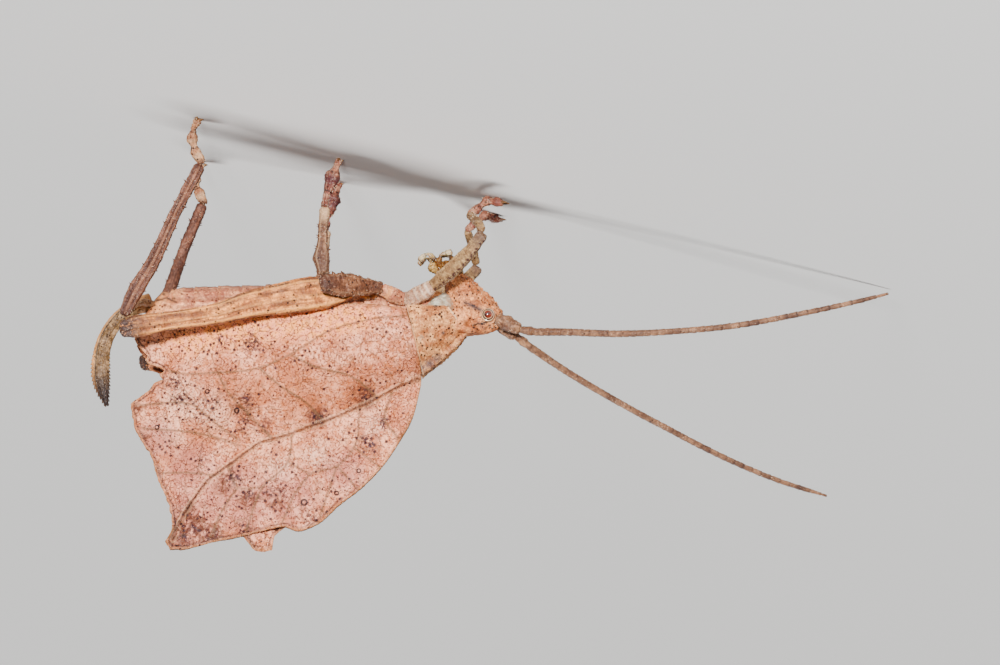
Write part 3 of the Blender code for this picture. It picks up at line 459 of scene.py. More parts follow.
class Nodes:
    """Adds nodes to one node tree, with their settings and with what feeds their inputs."""

    def __init__(self, tree: bpy.types.NodeTree) -> None:
        """Keeps the tree."""
        self.tree = tree

    def add(self, kind: str, feeds: dict, **settings: object) -> bpy.types.Node:
        """Adds one node.

        Args:
            kind: The node's type, without ShaderNode.
            feeds: For inputs by name or number, a socket to link or a value to set.
            settings: The node's own options.

        Returns:
            The node.
        """
        node = self.tree.nodes.new("ShaderNode" + kind)
        for name, value in settings.items():
            setattr(node, name, value)
        for name, value in feeds.items():
            if isinstance(value, bpy.types.NodeSocket):
                self.tree.links.new(value, node.inputs[name])
            else:
                node.inputs[name].default_value = value
        return node

    def link(self, source: bpy.types.NodeSocket, node: bpy.types.Node, name: str) -> None:
        """Feeds an input of a node."""
        self.tree.links.new(source, node.inputs[name])

    def group(self, tree: bpy.types.NodeTree, **feeds: object) -> bpy.types.Node:
        """A node group, its inputs fed by name."""
        return self.add("Group", feeds, node_tree=tree)

    def math(self, operation: str, *values: object) -> bpy.types.NodeSocket:
        """The result of one sum on sockets or numbers."""
        return self.add("Math", dict(enumerate(values)), operation=operation).outputs[0]

    def times(self, first: object, second: object) -> bpy.types.NodeSocket:
        """The product of two sockets or numbers."""
        return self.math("MULTIPLY", first, second)

    def plus(self, first: object, second: object) -> bpy.types.NodeSocket:
        """The sum of two sockets or numbers."""
        return self.math("ADD", first, second)

    def minus(self, first: object, second: object) -> bpy.types.NodeSocket:
        """The first of two sockets or numbers less the second."""
        return self.math("SUBTRACT", first, second)

    def blend(self, factor: object, first: object, second: object) -> bpy.types.NodeSocket:
        """The colour that lies factor of the way from the first to the second."""
        colours = [(*c, 1.0) if isinstance(c, tuple) else c for c in (first, second)]
        return self.add("Mix", {0: factor, 6: colours[0], 7: colours[1]}, data_type="RGBA").outputs[2]

    def over(self, colour: object, paint: Colour, where: object,
             strength: float = 1.0) -> bpy.types.NodeSocket:
        """A colour with a paint laid over it, as much as where times the strength says."""
        return self.blend(self.times(where, strength), colour, paint)

    def between(self, value: object, low: object, high: object) -> bpy.types.NodeSocket:
        """A smooth step from 0 at low to 1 at high."""
        feeds = {"Value": value, "From Min": low, "From Max": high}
        return self.add("MapRange", feeds, interpolation_type="SMOOTHSTEP").outputs[0]

    def noise(self, vector: object, scale: object, detail: float = 2.0) -> bpy.types.NodeSocket:
        """Smooth noise about 0.5."""
        return self.add("TexNoise", {"Vector": vector, "Scale": scale, "Detail": detail}).outputs[0]

    def mark(self, name: str, output: str = "Fac") -> bpy.types.NodeSocket:
        """A value that the piece's mesh holds at its points."""
        return self.add("Attribute", {}, attribute_name=name).outputs[output]

    def place(self) -> bpy.types.NodeSocket:
        """Where a point is, in millimetres."""
        where = self.add("TexCoord", {}).outputs["Object"]
        return self.add("Mapping", {"Vector": where, "Scale": (1 / MM,) * 3}).outputs[0]

    def shade(self, colour: bpy.types.NodeSocket, height: bpy.types.NodeSocket, relief: float,
              settings: dict[str, object], rough: bpy.types.NodeSocket | None = None,
              bump: float = 1.0) -> None:
        """Feeds the material's shader.

        Args:
            colour: The base colour.
            height: The relief, about 0 to 1.
            relief: How deep that relief is, in millimetres.
            settings: Values set on the shader's own sockets.
            rough: The roughness, where it changes over the surface.
            bump: The strength of the relief.
        """
        shader = self.tree.nodes["Principled BSDF"]
        raised = self.add("Bump", {"Height": height, "Distance": relief * MM, "Strength": bump})
        self.link(colour, shader, "Base Color")
        self.link(raised.outputs[0], shader, "Normal")
        if rough is not None:
            self.link(rough, shader, "Roughness")
        for name, value in settings.items():
            shader.inputs[name].default_value = value


def new_material(name: str) -> tuple[bpy.types.Material, Nodes]:
    """A new material and its nodes.

    Args:
        name: The material's name.

    Returns:
        The material and what adds nodes to it.
    """
    material = bpy.data.materials.new(name)
    material.use_nodes = True
    return material, Nodes(material.node_tree)


def start_group(name: str, numbers: tuple[str, ...],
                outputs: tuple[str, ...]) -> tuple[Nodes, dict, bpy.types.Node]:
    """A new shader node group that reads a place and some numbers.

    Args:
        name: The group's name.
        numbers: Names of its number inputs, after the place, which is named Vector.
        outputs: Names of the numbers that it puts out.

    Returns:
        Its nodes, its inputs by name, and its output node.
    """
    tree = bpy.data.node_groups.new(name, "ShaderNodeTree")
    tree.interface.new_socket(name="Vector", in_out="INPUT", socket_type="NodeSocketVector")
    for labels, way in ((numbers, "INPUT"), (outputs, "OUTPUT")):
        for label in labels:
            tree.interface.new_socket(name=label, in_out=way, socket_type="NodeSocketFloat")
    entry = tree.nodes.new("NodeGroupInput")
    leave = tree.nodes.new("NodeGroupOutput")
    return Nodes(tree), {label: entry.outputs[label] for label in ("Vector", *numbers)}, leave


@cache
def net_group() -> bpy.types.NodeTree:
    """Thin lines between cells, broken into dashes by noise, and a shade for each cell.

    Returns:
        The node group.
    """
    nodes, given, leave = start_group("broken_net", ("Cell", "Width", "Broken"), ("Net", "Tint"))
    scale = nodes.math("DIVIDE", 1.0, given["Cell"])
    feeds = {"Vector": given["Vector"], "Scale": scale}
    edge = nodes.add("TexVoronoi", feeds, feature="DISTANCE_TO_EDGE").outputs["Distance"]
    line = nodes.between(edge, given["Width"], 0.0)
    gaps = nodes.between(nodes.noise(given["Vector"], nodes.times(scale, 1.3)), given["Broken"], 0.62)
    cells = nodes.add("TexVoronoi", feeds, feature="F1").outputs["Color"]
    nodes.link(nodes.times(line, gaps), leave, "Net")
    nodes.link(nodes.add("SeparateColor", {0: cells}).outputs[0], leave, "Tint")
    return nodes.tree


@cache
def spots_group() -> bpy.types.NodeTree:
    """Round spots, one in some of the cells, of uneven size.

    Returns:
        The node group.
    """
    nodes, given, leave = start_group("round_spots", ("Cell", "Radius", "Share"), ("Spot",))
    scale = nodes.math("DIVIDE", 1.0, given["Cell"])
    cell = nodes.add("TexVoronoi", {"Vector": given["Vector"], "Scale": scale}, feature="F1")
    dice = nodes.add("SeparateColor", {0: cell.outputs["Color"]})
    uneven = nodes.plus(0.55, nodes.times(dice.outputs[1], 0.6))
    size = nodes.times(nodes.times(given["Radius"], scale), uneven)
    spot = nodes.between(cell.outputs["Distance"], size, nodes.times(size, 0.6))
    chosen = nodes.math("LESS_THAN", dice.outputs[0], given["Share"])
    nodes.link(nodes.times(spot, chosen), leave, "Spot")
    return nodes.tree


@cache
def streaks_group() -> bpy.types.NodeTree:
    """Noise drawn out along the piece, read from its lie.

    Returns:
        The node group.
    """
    nodes, given, leave = start_group("long_streaks", ("Length", "Width"), ("Streak",))
    size = nodes.add("CombineXYZ", {0: given["Length"], 1: given["Width"], 2: given["Width"]}).outputs[0]
    drawn = nodes.add("VectorMath", {0: given["Vector"], 1: size}, operation="DIVIDE").outputs[0]
    nodes.link(nodes.between(nodes.noise(drawn, 1.0, 3.0), 0.38, 0.66), leave, "Streak")
    return nodes.tree


@dataclass(frozen=True)
class Cuticle:
    """Dull insect skin: two tones, streaks, a fine net, flecks and pits, and the piece's own marks.

    The marks shade, rim and dark of a piece's mesh bring in the colours of the same names.
    """

    name: str
    pale: Colour
    tone: Colour
    streak: Colour
    shade: Colour
    rim: Colour
    pit: Colour
    dark: Colour = (0.018, 0.009, 0.009)
    streaking: float = 0.4
    netting: float = 0.5
    net_cell: float = 0.22
    pit_cell: float = 0.36
    pit_radius: float = 0.105
    pit_share: float = 0.70
    roughness: tuple[float, float] = (0.42, 0.68)
    relief: float = 0.05
    glow: float = 0.0
    coat: float = 0.0

    def material(self) -> bpy.types.Material:
        """The finish as a new material, its layers painted one over another.

        Returns:
            The material.
        """
        material, nodes = new_material(self.name)
        place = nodes.place()
        fine = nodes.noise(place, 7.0, 4.0)
        broad = nodes.between(nodes.noise(place, 1.1, 3.0), 0.40, 0.60)
        grain = nodes.between(nodes.noise(place, 3.6, 5.0), 0.46, 0.62)
        lie = nodes.mark("lie", "Vector")
        streak = nodes.group(streaks_group(), Vector=lie, Length=3.2, Width=0.30).outputs[0]
        net = nodes.group(net_group(), Vector=place, Cell=self.net_cell, Width=0.12, Broken=0.42).outputs
        pits = nodes.group(spots_group(), Vector=place, Cell=self.pit_cell, Radius=self.pit_radius,
                           Share=self.pit_share).outputs[0]
        colour = nodes.blend(broad, self.pale, self.tone)
        colour = nodes.over(colour, self.streak, grain, 0.58)
        colour = nodes.over(colour, self.pale, nodes.between(fine, 0.50, 0.70), 0.60)
        colour = nodes.over(colour, self.streak, streak, self.streaking)
        colour = nodes.over(colour, self.streak, net["Net"], self.netting)
        value = nodes.plus(1.0, nodes.times(nodes.minus(net["Tint"], 0.5), 0.40))
        colour = nodes.add("HueSaturation", {"Value": value, "Color": colour}).outputs[0]
        shaded = nodes.times(nodes.mark("shade"), nodes.between(fine, 0.26, 0.48))
        colour = nodes.over(colour, self.shade, shaded)
        colour = nodes.over(colour, self.rim, nodes.mark("rim"))
        colour = nodes.over(colour, self.pit, pits, 0.95)
        colour = nodes.over(colour, self.dark, nodes.mark("dark"))
        low, high = self.roughness
        height = nodes.minus(nodes.times(fine, 1.1), nodes.times(pits, 0.8))
        height = nodes.minus(height, nodes.times(net["Net"], 0.5))
        height = nodes.plus(height, nodes.times(streak, 0.4))
        nodes.shade(colour, height, self.relief, {
            "Specular IOR Level": 0.25, "Coat Weight": self.coat, "Coat Roughness": 0.12,
            "Subsurface Weight": self.glow, "Subsurface Scale": GLOW_DEPTH,
            "Subsurface Radius": (1.0, 0.45, 0.25)}, nodes.plus(low, nodes.times(fine, high - low)))
        return material


@dataclass(frozen=True)
class DeadLeaf:
    """The wing's finish: a pink-brown dead leaf with a fine broken net, specks, veins and stains.

    The marks of a wing's mesh say where it is brown, mauve, dusky, speckled and so on, and where light
    shining through it is painted as a warm glow.
    """

    name: str = "dead_leaf_wing"
    pale: Colour = (0.87, 0.355, 0.200)
    tone: Colour = (0.48, 0.145, 0.068)
    cream: Colour = (0.80, 0.430, 0.290)
    net: Colour = (0.085, 0.016, 0.010)
    brown: Colour = (0.45, 0.118, 0.034)
    purple: Colour = (0.045, 0.016, 0.020)
    umber: Colour = (0.115, 0.028, 0.010)
    mauve: Colour = (0.386, 0.139, 0.133)
    # Painted light: the warm glow's two colours, painted where light would shine through the thin wing.
    glow: Colour = (1.00, 0.350, 0.080)
    painted_glow_pink: Colour = (1.00, 0.330, 0.155)
    vein: Colour = (0.135, 0.062, 0.027)
    rib: Colour = (0.065, 0.022, 0.008)
    rib_edge: Colour = (0.58, 0.31, 0.16)
    rim: Colour = (0.36, 0.145, 0.050)
    speck: Colour = (0.028, 0.007, 0.010)
    dark: Colour = (0.010, 0.004, 0.006)
    relief: float = 0.06
    # Place in the wing's plane and radius of each dark ring
    ring_spots: tuple = (
        (7.59, 14.72, 0.30), (15.25, 6.10, 0.21), (12.94, 7.54, 0.24), (3.25, 12.20, 0.20),
        (5.02, 13.99, 0.21), (19.26, 8.83, 0.20))

    def rings(self, nodes: Nodes) -> bpy.types.NodeSocket:
        """The ring spots, each a band at about three quarters of its radius.

        Args:
            nodes: Adds nodes to the material.

        Returns:
            1 on a ring and 0 away from all of them.
        """
        lie = nodes.mark("lie", "Vector")
        plan = nodes.add("VectorMath", {0: lie, 1: (1.0, 0.0, 1.0)}, operation="MULTIPLY").outputs[0]
        found = 0.0
        for x, z, radius in self.ring_spots:
            away = nodes.add("VectorMath", {0: plan, 1: (x, 0.0, z)}, operation="DISTANCE").outputs["Value"]
            beside = nodes.math("ABSOLUTE", nodes.minus(away, 0.72 * radius))
            found = nodes.math("MAXIMUM", found, nodes.between(beside, 0.42 * radius, 0.16 * radius))
        return found

    def material(self) -> bpy.types.Material:
        """The finish as a new material, its layers painted one over another.

        Returns:
            The material.
        """
        material, nodes = new_material(self.name)
        place = nodes.place()
        fine = nodes.noise(place, 6.0, 4.0)
        broad = nodes.between(nodes.noise(place, 0.55, 4.0), 0.40, 0.60)
        grain = nodes.between(nodes.noise(place, 2.6, 5.0), 0.44, 0.62)
        torn = nodes.plus(0.24, nodes.times(nodes.noise(place, 0.5), 0.40))
        many = nodes.plus(0.20, nodes.times(nodes.mark("speckled"), 0.80))
        net = nodes.group(net_group(), Vector=place, Cell=0.27, Width=0.15, Broken=torn).outputs["Net"]
        cells = nodes.group(net_group(), Vector=place, Cell=1.05, Width=0.055, Broken=0.30).outputs["Net"]
        specks = nodes.group(spots_group(), Vector=place, Cell=0.38, Radius=0.140, Share=many).outputs[0]
        dust = nodes.group(spots_group(), Vector=place, Cell=0.20, Radius=0.064, Share=0.60).outputs[0]
        colour = nodes.blend(broad, self.pale, self.tone)
        colour = nodes.over(colour, self.brown, grain, 0.78)
        colour = nodes.over(colour, self.pale, nodes.between(fine, 0.50, 0.68), 0.6)
        bleached = nodes.times(nodes.mark("cream"), nodes.between(fine, 0.36, 0.60))
        colour = nodes.over(colour, self.cream, bleached, 0.75)
        colour = nodes.over(colour, self.brown, nodes.mark("brown"), 0.50)
        colour = nodes.over(colour, self.mauve, nodes.mark("mauve"), 0.36)
        # Painted light: a warm glow, as strong as the glow mark says, painted into the colour where light
        # would shine through the wing.
        painted_glow = nodes.blend(nodes.between(nodes.noise(place, 2.2, 5.0), 0.38, 0.62), self.glow, self.painted_glow_pink)
        glow = nodes.plus(0.58, nodes.times(nodes.between(fine, 0.35, 0.58), 0.40))
        colour = nodes.blend(nodes.times(nodes.mark("glow"), glow), colour, painted_glow)
        dusk = nodes.between(nodes.noise(place, 2.4, 5.0), 0.32, 0.58)
        colour = nodes.over(colour, self.umber, nodes.times(nodes.mark("dusk"), dusk))
        stain = nodes.between(nodes.noise(place, 4.6, 5.0), 0.40, 0.58)
        colour = nodes.over(colour, self.purple, nodes.times(nodes.mark("purple"), stain))
        dark = nodes.math("MAXIMUM", nodes.mark("dark"), nodes.times(self.rings(nodes), 0.92))
        for paint, where, strength in (
                (self.vein, cells, 0.60), (self.net, net, 0.88), (self.net, dust, 0.75),
                (self.vein, nodes.mark("vein"), 0.9), (self.rib_edge, nodes.mark("rib_edge"), 1.0),
                (self.rib, nodes.mark("rib"), 1.0), (self.rim, nodes.mark("rim"), 1.0),
                (self.speck, specks, 0.92), (self.dark, dark, 1.0)):
            colour = nodes.over(colour, paint, where, strength)
        height = nodes.minus(nodes.times(fine, 0.9), nodes.times(net, 0.7))
        height = nodes.plus(height, nodes.times(cells, 0.6))
        height = nodes.minus(height, nodes.times(specks, 0.5))
        nodes.shade(colour, height, self.relief, {
            "Specular IOR Level": 0.20, "Subsurface Weight": 0.12, "Subsurface Scale": GLOW_DEPTH,
            "Subsurface Radius": (1.0, 0.5, 0.3)}, nodes.plus(0.40, nodes.times(fine, 0.30)))
        return material


@dataclass(frozen=True)
class EyeGloss:
    """A glossy dark eye with a fine grid of facets and a cream ring."""

    name: str = "eye_gloss"
    deep: Colour = (0.012, 0.004, 0.004)
    red: Colour = (0.144, 0.015, 0.004)
    ring: Colour = (0.90, 0.60, 0.34)
    facets: float = 26.0
    relief: float = 0.006

    def material(self) -> bpy.types.Material:
        """The finish as a new material.

        Returns:
            The material.
        """
        material, nodes = new_material(self.name)
        place = nodes.place()
        facets = nodes.add("TexVoronoi", {"Vector": place, "Scale": self.facets}, feature="DISTANCE_TO_EDGE")
        colour = nodes.blend(nodes.between(nodes.noise(place, 3.2, 2.0), 0.40, 0.62), self.deep, self.red)
        colour = nodes.over(colour, self.ring, nodes.mark("rim"))
        colour = nodes.over(colour, self.deep, nodes.mark("dark"))
        nodes.shade(colour, facets.outputs[0], self.relief,
                    {"Roughness": 0.12, "Coat Weight": 0.8, "Coat Roughness": 0.04}, bump=0.5)
        return material


# Skins: a name, then the colours pale, tone, streak, shade, rim and pit
HEAD_SKIN = Cuticle(
    "head_skin", (0.815, 0.311, 0.109), (0.408, 0.118, 0.034), (0.178, 0.038, 0.010), (0.066, 0.035, 0.030),
    (0.796, 0.457, 0.238), (0.020, 0.006, 0.005), pit_cell=0.32, pit_share=0.85, pit_radius=0.120)
PRONOTUM_SKIN = Cuticle(
    "pronotum_skin", (0.854, 0.384, 0.141), (0.441, 0.148, 0.044), (0.198, 0.047, 0.012),
    (0.078, 0.042, 0.036), (0.833, 0.546, 0.324), (0.021, 0.007, 0.006), pit_cell=0.32, pit_share=0.80,
    pit_radius=0.118)
BODY_SKIN = Cuticle(
    "body_skin", (0.854, 0.366, 0.179), (0.437, 0.140, 0.068), (0.208, 0.043, 0.021), (0.164, 0.060, 0.034),
    (0.891, 0.349, 0.091), (0.067, 0.009, 0.005), streaking=0.6, glow=0.1)
NECK_SKIN = Cuticle(
    "neck_membrane", (0.534, 0.493, 0.384), (0.338, 0.277, 0.187), (0.206, 0.149, 0.085),
    (0.300, 0.125, 0.050), (0.606, 0.578, 0.485), (0.129, 0.076, 0.037), pit_share=0.1, netting=0.1,
    roughness=(0.22, 0.40), glow=0.3)
MOUTH_SKIN = Cuticle(
    "mouth_gold", (0.420, 0.245, 0.070), (0.200, 0.070, 0.008), (0.045, 0.010, 0.002),
    (0.016, 0.003, 0.001), (0.600, 0.470, 0.280), (0.019, 0.003, 0.000), pit_share=0.4, netting=0.4,
    roughness=(0.16, 0.36), glow=0.25, coat=0.3)
FEELER_SKIN = Cuticle(
    "feeler_skin", (0.275, 0.130, 0.062), (0.141, 0.058, 0.026), (0.054, 0.017, 0.009),
    (0.049, 0.021, 0.016), (0.367, 0.179, 0.099), (0.024, 0.009, 0.006), pit_cell=0.34, pit_radius=0.08,
    relief=0.035)
BLADE_SKIN = Cuticle(
    "blade_skin", (0.390, 0.225, 0.105), (0.135, 0.066, 0.018), (0.045, 0.016, 0.004),
    (0.020, 0.006, 0.003), (0.500, 0.205, 0.060), (0.012, 0.004, 0.001), dark=(0.012, 0.005, 0.004),
    pit_cell=0.26, pit_radius=0.07, roughness=(0.40, 0.62))
CERCUS_SKIN = Cuticle(
    "cercus_skin", (0.500, 0.270, 0.130), (0.300, 0.140, 0.060), (0.160, 0.060, 0.028),
    (0.120, 0.050, 0.030), (0.640, 0.400, 0.220), (0.050, 0.018, 0.012), pit_share=0.3)
COXA_SKIN = Cuticle(
    "coxa_skin", (0.560, 0.335, 0.205), (0.360, 0.190, 0.110), (0.190, 0.078, 0.042), (0.140, 0.066, 0.045),
    (0.740, 0.560, 0.410), (0.060, 0.020, 0.015), pit_share=0.35, roughness=(0.30, 0.52), glow=0.2)
FORE_LEG_SKIN = Cuticle(
    "fore_leg_skin", (0.425, 0.258, 0.105), (0.250, 0.132, 0.052), (0.115, 0.050, 0.022),
    (0.082, 0.043, 0.034), (0.503, 0.359, 0.176), (0.043, 0.010, 0.006), dark=(0.030, 0.005, 0.004),
    pit_share=0.35)
MID_LEG_SKIN = Cuticle(
    "mid_leg_skin", (0.220, 0.083, 0.036), (0.107, 0.034, 0.014), (0.044, 0.012, 0.005),
    (0.048, 0.023, 0.019), (0.336, 0.165, 0.079), (0.017, 0.006, 0.005))
HIND_LEG_SKIN = Cuticle(
    "hind_leg_skin", (0.960, 0.346, 0.080), (0.436, 0.126, 0.029), (0.167, 0.046, 0.013),
    (0.052, 0.026, 0.020), (0.960, 0.390, 0.090), (0.017, 0.006, 0.004), streaking=0.85)
TIBIA_SKIN = Cuticle(
    "tibia_skin", (0.196, 0.071, 0.038), (0.103, 0.034, 0.017), (0.045, 0.012, 0.006),
    (0.031, 0.009, 0.006), (0.333, 0.137, 0.066), (0.016, 0.004, 0.003), streaking=0.8, pit_share=0.35,
    pit_radius=0.08)
FOOT_SKIN = Cuticle(
    "foot_skin", (0.348, 0.133, 0.073), (0.166, 0.043, 0.028), (0.073, 0.015, 0.010), (0.064, 0.016, 0.018),
    (0.479, 0.242, 0.145), (0.017, 0.004, 0.003), dark=(0.014, 0.004, 0.004), roughness=(0.25, 0.5))
HIND_FOOT_SKIN = Cuticle(
    "hind_foot_skin", (0.493, 0.234, 0.105), (0.263, 0.096, 0.039), (0.108, 0.028, 0.013),
    (0.054, 0.029, 0.022), (0.504, 0.305, 0.164), (0.016, 0.005, 0.003), dark=(0.030, 0.010, 0.008))
MID_TIBIA_SKIN = Cuticle(
    "mid_tibia_skin", (0.233, 0.108, 0.056), (0.125, 0.051, 0.025), (0.056, 0.020, 0.011),
    (0.052, 0.023, 0.016), (0.492, 0.291, 0.155), (0.023, 0.008, 0.006), streaking=0.5, pit_share=0.2)
CLAW_SKIN = Cuticle(
    "claw_horn", (0.30, 0.16, 0.055), (0.120, 0.045, 0.016), (0.060, 0.020, 0.008), (0.040, 0.014, 0.006),
    (0.50, 0.28, 0.12), (0.020, 0.008, 0.004), pit_share=0.0, roughness=(0.15, 0.3), coat=0.4)
HAIR_SKIN = Cuticle(
    "fine_hair", (0.80, 0.60, 0.42), (0.68, 0.46, 0.30), (0.50, 0.31, 0.20), (0.5, 0.4, 0.3),
    (0.9, 0.8, 0.7), (0.5, 0.4, 0.3), pit_share=0.0, relief=0.002)


@cache
def finish(skin: Cuticle | DeadLeaf | EyeGloss) -> bpy.types.Material:
    """The one material of a finish, made when it is first asked for."""
    return skin.material()


# From surfaces to pieces

@dataclass(frozen=True)
class Stance:
    """How the insect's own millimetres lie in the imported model's frame."""

    turn: Array
    shift: Array

    @classmethod
    def of_packed_model(cls) -> "Stance":
        """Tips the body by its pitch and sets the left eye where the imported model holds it.

        Returns:
            The stance.
        """
        low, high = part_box("eye_left")
        cosine, sine = math.cos(BODY_PITCH), math.sin(BODY_PITCH)
        turn = np.array(((cosine, 0.0, -sine), (0.0, 1.0, 0.0), (sine, 0.0, cosine)))
        return cls(turn, (np.array(low) + np.array(high)) / 2 - turn @ np.array(EYE_CENTRE) * MM)

    def place(self, points: Array) -> Array:
        """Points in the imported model's frame, in metres."""
        return points @ self.turn.T * MM + self.shift


@dataclass
class Workbench:
    """Makes pieces of the scene from surfaces and keeps their names."""

    stance: Stance
    made: list[str] = field(default_factory=list)
    coats: dict[str, list[Array]] = field(default_factory=dict)
    # Half size of a hair's patch on the sheet
    patch: float = 0.0015

    def piece(self, name: str, surface: Surface, skin: Cuticle | DeadLeaf | EyeGloss, slot: str,
              nodes: tuple[str, ...] = ()) -> bpy.types.Object:
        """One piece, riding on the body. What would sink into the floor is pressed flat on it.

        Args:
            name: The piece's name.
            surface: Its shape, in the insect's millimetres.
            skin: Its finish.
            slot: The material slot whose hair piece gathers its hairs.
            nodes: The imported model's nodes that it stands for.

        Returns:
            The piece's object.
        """
        points = self.stance.place(surface.points)
        points[:, 2] = np.maximum(points[:, 2], 0.0)
        mesh = bpy.data.meshes.new(name)
        mesh.from_pydata(points.tolist(), [], surface.quads.tolist() + surface.triangles.tolist())
        for label, values in surface.marks.items():
            kind, key = ("FLOAT_VECTOR", "vector") if values.ndim == 2 else ("FLOAT", "value")
            store = mesh.attributes.new(label, kind, "POINT")
            store.data.foreach_set(key, np.ascontiguousarray(values, np.float32).ravel())
        mesh.update()
        mesh.shade_smooth()
        mesh.materials.append(finish(skin))
        obj = bpy.data.objects.new(name, mesh)
        bpy.context.scene.collection.objects.link(obj)
        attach(obj, "root")
        if nodes:
            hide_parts(*nodes)
        self.made.append(name)
        if len(surface.hairs):
            self.coats.setdefault(slot, []).append(surface.hairs)
        LOG.info("%s: %d points, %d faces", name, len(points), len(surface.quads) + len(surface.triangles))
        return obj

    def comb(self) -> None:
        """Makes the hairs of each material slot, those of each skin on its own tile of one sheet.

        The eight points of a hair share one small patch of the sheet, at its place on the skin.
        """
        patch = self.patch * np.array(((-1, -1), (1, -1), (0, 1), (-0.6, -0.6), (0.6, -0.6), (0, 0.6),
                                       (0, 0), (0, -0.3)))
        for slot, coats in self.coats.items():
            tiles = math.ceil(math.sqrt(len(coats)))
            hairs = np.concatenate(coats)
            tile = np.repeat(np.arange(len(coats)), [len(coat) for coat in coats])
            corner = np.column_stack([tile % tiles, tile // tiles])
            place = (corner + 0.02 + 0.96 * hairs[:, 6:8]) / tiles
            tufts = thorns(hairs[:, :3], hairs[:, 3:6], hairs[:, 8], 3)
            mesh = self.piece(f"hairs_{slot}", tufts, HAIR_SKIN, slot).data
            spots = (place[:, None] + patch).reshape(-1, 2)
            corners = np.empty(len(mesh.loops), np.int32)
            mesh.loops.foreach_get("vertex_index", corners)
            sheet = mesh.uv_layers.new(name="OFBake").data
            sheet.foreach_set("uv", spots[corners].astype(np.float32).ravel())


# Head, eyes, feelers and mouth

